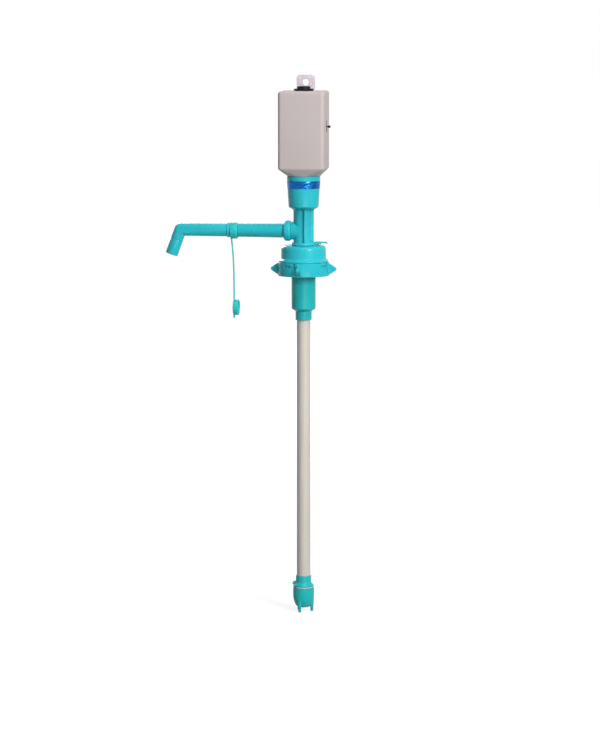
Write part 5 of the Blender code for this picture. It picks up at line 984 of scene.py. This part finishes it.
profile = [
    (ELBOW_BORE, BEND_NECK + CLEAR),
    (NOZZLE_RADIUS, BEND_NECK + CLEAR, 0.0003),
    (NOZZLE_RADIUS, NOZZLE_END, 0.0005),
    (ELBOW_BORE, NOZZLE_END, 0.0004),
]
to_nozzle = Matrix.Translation((-BEND_REACH, 0, OUTLET_Z)) @ Matrix.Rotation(-pi / 2 - BEND_FALL, 4, "Y")
tip = turned_to(turned(profile), to_nozzle)
piece("nozzle_sleeve", "nozzle_tip", tip, teal, body="elbow")


# Tether. One soft, slightly greener moulding: a loose ring on the arm, a thin flat strap that hangs from
# it, and a cap for the nozzle with a pull tab. The cap's mouth faces the pump.
SOFT_LIGHT = (0.028, 0.555, 0.540)
SOFT_DARK = (0.022, 0.49, 0.48)
TETHER_RING = (0.0085, 0.0105, 0.0015)
STRAP_THICK = 0.0015
STRAP_LEAN = 0.0034
STRAP_STEPS = 24
STRAP_ROOT = 0.0007
CAP_PLATE = 0.0015
CAP_BORE = 0.0084
PULL_TAB = 0.0035
PULL_CORNER = 0.0015
soft_teal = moulded("soft_teal", SOFT_LIGHT, SOFT_DARK, (0.36, 0.48), cloud=40, skin=1800)
ring_low, ring_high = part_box("tether_ring")
start, end = along_spout("tether_ring")
inner, outer, chamfer = TETHER_RING
profile = [
    (inner, start),
    (outer - chamfer, start, 0.0004),
    (outer, start + chamfer, 0.0006),
    (outer, end, 0.0004),
    (inner, end),
]
to_tether = Matrix.Translation((0, 0, (ring_low.z + ring_high.z) / 2)) @ TO_SPOUT
ring = turned_to(turned(profile), to_tether)
piece("tether_loop", "tether_ring", ring, soft_teal, body="tether")

strap_low, strap_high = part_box("tether_strap")
strap_x = strap_high.x - STRAP_THICK / 2
strap_start, strap_end = strap_low.z - STRAP_ROOT, strap_high.z + STRAP_ROOT
near, far = [], []
for step in range(STRAP_STEPS + 1):
    share = step / STRAP_STEPS
    z = strap_start + (strap_end - strap_start) * share
    x = strap_x - STRAP_LEAN * share**3
    near.append((x + STRAP_THICK / 2, z))
    far.append((x - STRAP_THICK / 2, z))
strap = upright(near + far[::-1], strap_low.y, strap_high.y)
piece("strap", "tether_strap", strap, soft_teal, 0.0004, 3, body="tether")

dust_low, dust_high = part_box("dust_cap")
dust_radius = dust_high.y
mouth = dust_high.x - dust_low.x
profile = [
    (0, 0),
    (dust_radius, 0, 0.0007),
    (dust_radius, mouth, 0.0003),
    (CAP_BORE, mouth, 0.0005),
    (CAP_BORE, CAP_PLATE, 0.0003),
    (0, CAP_PLATE),
]
dust_z = dust_high.z - dust_radius
to_dust = Matrix.Translation((dust_low.x, 0, dust_z)) @ Matrix.Rotation(pi / 2, 4, "Y")
dust = turned_to(turned(profile), to_dust)
outline = [(PULL_TAB, dust_z - CAP_BORE)]
outline += arc((PULL_TAB - PULL_CORNER, dust_low.z + PULL_CORNER), PULL_CORNER, 0, -pi / 2, 6)
outline += arc((PULL_CORNER - PULL_TAB, dust_low.z + PULL_CORNER), PULL_CORNER, -pi / 2, -pi, 6)
outline += [(-PULL_TAB, dust_z - CAP_BORE)]
pull = lofted([[(x, y, z) for y, z in outline] for x in (dust_low.x, dust_low.x + CAP_PLATE)])
dust = joined(dust, pull)
piece("nozzle_cap", "dust_cap", dust, soft_teal, 0.0002, body="tether")


# Neck gasket and grip sleeve. Pale silicone: a flat ring on the bottle's mouth, and a soft sleeve inside
# the skirt that grips the neck.
GASKET_WIDTH = 0.0049
SLEEVE_BORE = 0.0278
silicone = moulded("pale_silicone", (0.78, 0.64, 0.62), (0.72, 0.57, 0.55), (0.5, 0.65), cloud=70, skin=1600)


def plain_ring(inner, node, outer=None):
    """The section of a plain ring between two radii. The outer one is the node's own if none is named."""
    low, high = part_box(node)
    outer = outer or high.x
    return [(inner, high.z), (outer, high.z), (outer, low.z), (inner, low.z)]


gasket = plain_ring(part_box("neck_gasket")[1].x - GASKET_WIDTH, "neck_gasket")
piece("flat_gasket", "neck_gasket", turned(gasket, 0.0004), silicone)
sleeve = plain_ring(SLEEVE_BORE, "grip_sleeve")
piece("grip_lining", "grip_sleeve", turned(sleeve, 0.0004), silicone)


# Neck cap. A teal cap over the bottle's mouth: a domed shoulder, a flared flange, and a skirt with four
# lugs that run in the clamp ring's slots. A small hole in its top lets air in.
CAP_HOLE = 0.0136
CAP_RADII = (0.0289, 0.0292)
CAP_ROUND = 0.0052
CAP_SHOULDER = -0.0116
FLANGE = (0.0321, -0.014, -0.0161)
SKIRT = (0.0293, 0.0309)
CAP_TOP_THICK = 0.0025
CAP_BORE_RADIUS = 0.0278
STEP_Z = -0.0149
LUG = (0.0322, 0.0044, -0.0219, -0.0193)
CLAMP_RADIUS = 0.03315
RING_TURN = radians(-92)
LUG_FROM_WING = 0.0201
VENT_REACH = 0.0208
VENT_HOLE = 0.0014


def sector(inner, outer, low, high, start, end, steps=12):
    """A piece of a ring between two angles."""
    rings = []
    for step in range(steps + 1):
        angle = start + (end - start) * step / steps
        across = Vector((cos(angle), sin(angle), 0))
        corners = ((inner, low), (outer, low), (outer, high), (inner, high))
        rings.append([across * radius + Vector((0, 0, height)) for radius, height in corners])
    return lofted(rings)


def slot_angle(distance, quarter):
    """The angle of a point beside one of the four wings, at a distance from its middle round the ring."""
    return RING_TURN - distance / CLAMP_RADIUS + quarter * pi / 2


cap_low, cap_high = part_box("neck_cap")
profile = [
    (CAP_HOLE, cap_high.z - CAP_TOP_THICK),
    (CAP_HOLE, cap_high.z, 0.0003),
    (CAP_RADII[0], cap_high.z, CAP_ROUND),
    (CAP_RADII[1], CAP_SHOULDER, 0.0006),
    (FLANGE[0], FLANGE[1], 0.0005),
    (FLANGE[0], FLANGE[2], 0.0005),
    (SKIRT[1], FLANGE[2]),
    (SKIRT[1], cap_low.z, 0.0003),
    (SKIRT[0], cap_low.z, 0.0003),
    (SKIRT[0], STEP_Z),
    (CAP_BORE_RADIUS, STEP_Z),
    (CAP_BORE_RADIUS, cap_high.z - CAP_TOP_THICK),
]
cap = turned(profile, 0.0002, 128)
lug_outer, lug_width, lug_low, lug_high = LUG
for quarter in range(4):
    start = slot_angle(LUG_FROM_WING - lug_width / 2, quarter)
    end = slot_angle(LUG_FROM_WING + lug_width / 2, quarter)
    lug = sector((SKIRT[0] + SKIRT[1]) / 2, lug_outer, lug_low, lug_high, start, end)
    cap = joined(cap, lug)
vent = bar(VENT_HOLE, cap_high.z - CAP_TOP_THICK - PAST, cap_high.z + PAST)
cap = carved(cap, turned_to(vent, Matrix.Translation((VENT_REACH, 0, 0))))
piece("collar_cap", "neck_cap", cap, teal, 0.00018)


# Clamp ring. A separate teal ring round the skirt, turned by its four round-nosed wings. The bent slots
# beside the wings ride over the cap's lugs and lock there.
CLAMP_BORE = 0.0312
CLAMP_EDGE = 0.0005
WING = (0.04288, 0.0027, 0.0052, 0.0048, 0.0005)
WING_ROOT = 0.0008
WING_TILT = radians(55)
SLOT_START = 0.0052
SLOT_ENTRY = 0.0055
SLOT_LEG = 0.0119
clamp_low, clamp_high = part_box("clamp_ring")
SLOT_TOP = clamp_high.z - 0.0026
SLOT_BOTTOM = SLOT_TOP - 0.003
profile = [
    (CLAMP_BORE, clamp_high.z, 0.0003),
    (CLAMP_RADIUS, clamp_high.z, CLAMP_EDGE),
    (CLAMP_RADIUS, clamp_low.z, CLAMP_EDGE),
    (CLAMP_BORE, clamp_low.z, 0.0003),
]
clamp = turned(profile, 0.0003, 128)
wing_reach, tip_radius, root_thick, tip_thick, wing_drop = WING
for quarter in range(4):
    root = CLAMP_RADIUS - WING_ROOT
    high, low = clamp_high.z - wing_drop, clamp_low.z + wing_drop
    centre = (wing_reach - tip_radius, (high + low) / 2)
    outline = [(root, low)] + arc(centre, tip_radius, -WING_TILT, WING_TILT, 20) + [(root, high)]
    sides = []
    for side in (-1, 1):
        flank = []
        for radius, height in outline:
            share = (radius - root) / (wing_reach - root)
            flank.append((radius, side * (root_thick + (tip_thick - root_thick) * share) / 2, height))
        sides.append(flank)
    wing = turned_to(lofted(sides), Matrix.Rotation(RING_TURN + quarter * pi / 2, 4, "Z"))
    clamp = joined(clamp, wing)
for quarter in range(4):
    start = slot_angle(SLOT_START, quarter)
    corner_angle = slot_angle(SLOT_START + SLOT_ENTRY, quarter)
    end = slot_angle(SLOT_START + SLOT_ENTRY + SLOT_LEG, quarter)
    inner, outer = CLAMP_BORE - PAST / 2, CLAMP_RADIUS + PAST / 2
    leg = sector(inner, outer, SLOT_BOTTOM, SLOT_TOP, start, end)
    entry = sector(inner, outer, SLOT_TOP - CLEAR, clamp_high.z + PAST, start, corner_angle, 6)
    clamp = carved(clamp, leg, entry)
piece("clamp_ring_winged", "clamp_ring", clamp, teal, 0.00045, 3, body="clamp")


# Vent flap. A small teal lever hinges on a steel pin between the column's two ears. A soft pad under it
# closes the cap's air hole.
FLAP_THICK = 0.002
FLAP_NOSE = 0.0018
FLAP_TIP_DROP = 0.0009
PLUG_RADIUS = 0.0022
PIN_RADIUS = 0.0007
flap_low, flap_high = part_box("vent_flap")
under = flap_high.z - FLAP_THICK
lower = asin((under - PIN_Z) / knuckle)
outline = arc((PIN_REACH, PIN_Z), knuckle, pi / 2, tau + lower, 28)
outline += [
    (flap_high.x - FLAP_NOSE, under),
    (flap_high.x - FLAP_NOSE / 3, under - FLAP_TIP_DROP),
    (flap_high.x, under),
    (flap_high.x - FLAP_NOSE, flap_high.z),
]
flap = upright(outline, flap_low.y, flap_high.y)
pin_hole = bar(PIN_RADIUS + CLEAR / 5, flap_low.y - PAST, flap_high.y + PAST)
flap = carved(flap, turned_to(pin_hole, along_y(PIN_REACH, 0, PIN_Z)))
piece("air_flap", "vent_flap", flap, teal, 0.00025, body="vent")

pin_low, pin_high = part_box("vent_pin")
profile = [(0, pin_high.y), (PIN_RADIUS, pin_high.y), (PIN_RADIUS, pin_low.y), (0, pin_low.y)]
pin = turned_to(turned(profile, 0.0002, 32), along_y(PIN_REACH, 0, PIN_Z))
piece("flap_pin", "vent_pin", pin, steel)

plug_low, plug_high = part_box("vent_plug")
profile = [(0, plug_high.z), (PLUG_RADIUS, plug_high.z), (PLUG_RADIUS, plug_low.z, 0.0006), (0, plug_low.z)]
plug = turned_to(turned(profile, 0.0002, 40), Matrix.Translation((VENT_REACH, 0, 0)))
piece("flap_pad", "vent_plug", plug, silicone, body="vent")


# Tube socket. A teal moulding that hangs in the bottle's neck. It takes the column's spigot above and
# the riser tube below.
SOCKET_RADIUS = 0.01565
SOCKET_BORE = 0.0136
SOCKET_SHOULDER = -0.0767
SOCKET_TAPER = 0.0033
SOCKET_END = 0.0105
SOCKET_GRIP = 0.00905
SOCKET_STOP = (0.0072, -0.079, 0.002)
SOCKET_CHAMBER = 0.0116
SOCKET_LEDGE = -0.0162
DEEP_TEALS = ((0.016, 0.49, 0.49), (0.012, 0.435, 0.445))
socket_low, socket_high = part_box("tube_socket")
stop_radius, stop_z, stop_thick = SOCKET_STOP
profile = [
    (SOCKET_BORE, socket_high.z),
    (SOCKET_RADIUS, socket_high.z, 0.0004),
    (SOCKET_RADIUS, SOCKET_SHOULDER, 0.0008),
    (SOCKET_END, SOCKET_SHOULDER - SOCKET_TAPER, 0.0008),
    (SOCKET_END, socket_low.z, 0.0004),
    (SOCKET_GRIP, socket_low.z, 0.0002),
    (SOCKET_GRIP, stop_z),
    (stop_radius, stop_z),
    (stop_radius, stop_z + stop_thick),
    (SOCKET_CHAMBER, stop_z + stop_thick + SOCKET_CHAMBER - stop_radius),
    (SOCKET_CHAMBER, SOCKET_LEDGE),
    (SOCKET_BORE, SOCKET_LEDGE),
]
deep_teal = moulded("deep_teal", *DEEP_TEALS, (0.22, 0.30), relief=0.000003, shine=0.18)
piece("socket_moulding", "tube_socket", turned(profile, 0.0002), deep_teal)


# Riser tube. An extruded ivory plastic tube down to the foot, satin, with faint lines along it.
RISER_BORE = 0.00725
DRAWN_LINES = (22, 22, 1)
riser_low, riser_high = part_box("riser_tube")
ivory = moulded("extruded_ivory", (0.64, 0.59, 0.52), (0.58, 0.53, 0.46), (0.34, 0.46), cloud=18)
set_sockets(ivory.node_tree.nodes["Noise Texture"], {"Vector": stretched(ivory, DRAWN_LINES)})
piece("riser", "riser_tube", turned(plain_ring(RISER_BORE, "riser_tube"), 0.0002), ivory)


# Foot collar and its screw. The teal collar slips on the tube's end and is held by a small brass screw
# in a boss at its side. A flange and a spigot below it carry the bowl.
FOOT_RADIUS = 0.01
FOOT_FLANGE = (0.0134, 0.0049, 0.0015)
FOOT_SPIGOT = (0.01175, 0.0061)
FOOT_SPIGOT_BORE = 0.0074
FOOT_BOSS = (0.0026, 0.0138, 0.001)
FOOT_SCREW = (0.0015, 0.0014, 0.0008, 0.0007)
FOOT_SCREW_SLOT = (0.0002, 0.0004)
foot_low, foot_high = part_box("foot_collar")
flange_under = foot_low.z + FOOT_SPIGOT[1]
flange_top = flange_under + FOOT_FLANGE[1]
grip_stop = riser_low.z - CLEAR
profile = [
    (SOCKET_GRIP, foot_high.z),
    (FOOT_RADIUS, foot_high.z, 0.0003),
    (FOOT_RADIUS, flange_top, 0.0012),
    (FOOT_FLANGE[0], flange_under + FOOT_FLANGE[2], 0.0005),
    (FOOT_FLANGE[0], flange_under, 0.0004),
    (FOOT_SPIGOT[0], flange_under),
    (FOOT_SPIGOT[0], foot_low.z),
    (FOOT_SPIGOT_BORE, foot_low.z),
    (FOOT_SPIGOT_BORE, grip_stop),
    (SOCKET_GRIP, grip_stop),
]
collar = turned(profile, 0.0002)
boss_radius, boss_reach, boss_drop = FOOT_BOSS
to_boss = Matrix.Translation((0, 0, flange_top - boss_drop)) @ TO_SPOUT
boss = [
    (0, boss_reach),
    (boss_radius, boss_reach, 0.0004),
    (boss_radius, (SOCKET_GRIP + FOOT_RADIUS) / 2),
    (0, (SOCKET_GRIP + FOOT_RADIUS) / 2),
]
collar = joined(collar, turned_to(turned(boss, 0, 48), to_boss))
head, head_thick, shank, proud = FOOT_SCREW
screw_end = boss_reach + proud
seat = screw_end - head_thick - CLEAR
holes = bar(head + CLEAR, seat, boss_reach + PAST), bar(shank + CLEAR, riser_high.x - CLEAR, boss_reach)
collar = carved(collar, *[turned_to(hole, to_boss) for hole in holes])
piece("foot_moulding", "foot_collar", collar, deep_teal, 0.0002)

brass = metal("brass_screw", (0.60, 0.40, 0.16), (0.48, 0.31, 0.12), (0.24, 0.4))
profile = screw_section(riser_high.x + CLEAR, screw_end, head, head_thick, shank, 0.0004, 0.0001)
slot_half, slot_deep = FOOT_SCREW_SLOT
low = (-head - PAST, -slot_half, screw_end - slot_deep)
cut = cuboid(low, (head + PAST, slot_half, screw_end + PAST))
screw = carved(turned(profile, 0.0001, 32), cut)
piece("foot_screw_brass", "foot_screw", turned_to(screw, to_boss), brass)


# Pump bowl, its gasket and strainer. The bowl closes round the impeller, with a round inlet in its floor
# and three tapered feet. A pale gasket seals it to the collar, and a pierced disc keeps grit out.
SEAL_RADIUS = 0.0132
BOWL_RADIUS = 0.0138
BOWL_STRAIGHT = 0.0085
BOWL_FLAT = 0.006
BOWL_WALL = 0.00175
INLET = 0.0045
LEG_CIRCLE = 0.0109
LEG_RADII = (0.0029, 0.0018)
LEG_TURN = radians(-109)
LEG_REACH = 0.0058
LEG_ROOT = 0.0135
profile = plain_ring(FOOT_SPIGOT[0] + CLEAR, "bowl_gasket", SEAL_RADIUS)
piece("bowl_seal", "bowl_gasket", turned(profile, 0.0003), silicone)

bowl_low, bowl_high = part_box("pump_bowl")
bowl_bottom = bowl_low.z + LEG_REACH
dome_z = bowl_high.z - BOWL_STRAIGHT


def bowl_section(radius, flat, top, bottom, steps=16):
    """Half the section of the bowl, from the axis at the top to the axis at the bottom."""
    section = [(0, top), (radius, top)]
    for step in range(steps + 1):
        angle = pi / 2 * step / steps
        across = flat + (radius - flat) * cos(angle)
        section.append((across, dome_z - (dome_z - bottom) * sin(angle)))
    return section + [(0, bottom)]


bowl = turned(bowl_section(BOWL_RADIUS, BOWL_FLAT, bowl_high.z, bowl_bottom), 0)
root = bowl_bottom + LEG_ROOT
profile = [(0, root), (LEG_RADII[0], root), (LEG_RADII[1], bowl_low.z, 0.0004), (0, bowl_low.z)]
for number in range(3):
    turn = Matrix.Rotation(LEG_TURN + number * tau / 3, 4, "Z")
    leg = turned_to(turned(profile, 0, 40), turn @ Matrix.Translation((LEG_CIRCLE, 0, 0)))
    bowl = joined(bowl, leg)
floor_top = bowl_bottom + BOWL_WALL
inside = bowl_section(BOWL_RADIUS - BOWL_WALL, INLET, bowl_high.z + PAST, floor_top)[:-1]
inside += [(INLET, bowl_bottom - PAST), (0, bowl_bottom - PAST)]
bowl = carved(bowl, turned(inside, 0))
piece("bowl_moulding", "pump_bowl", bowl, deep_teal, 0.0003)
refinished(deep_teal, "strainer")
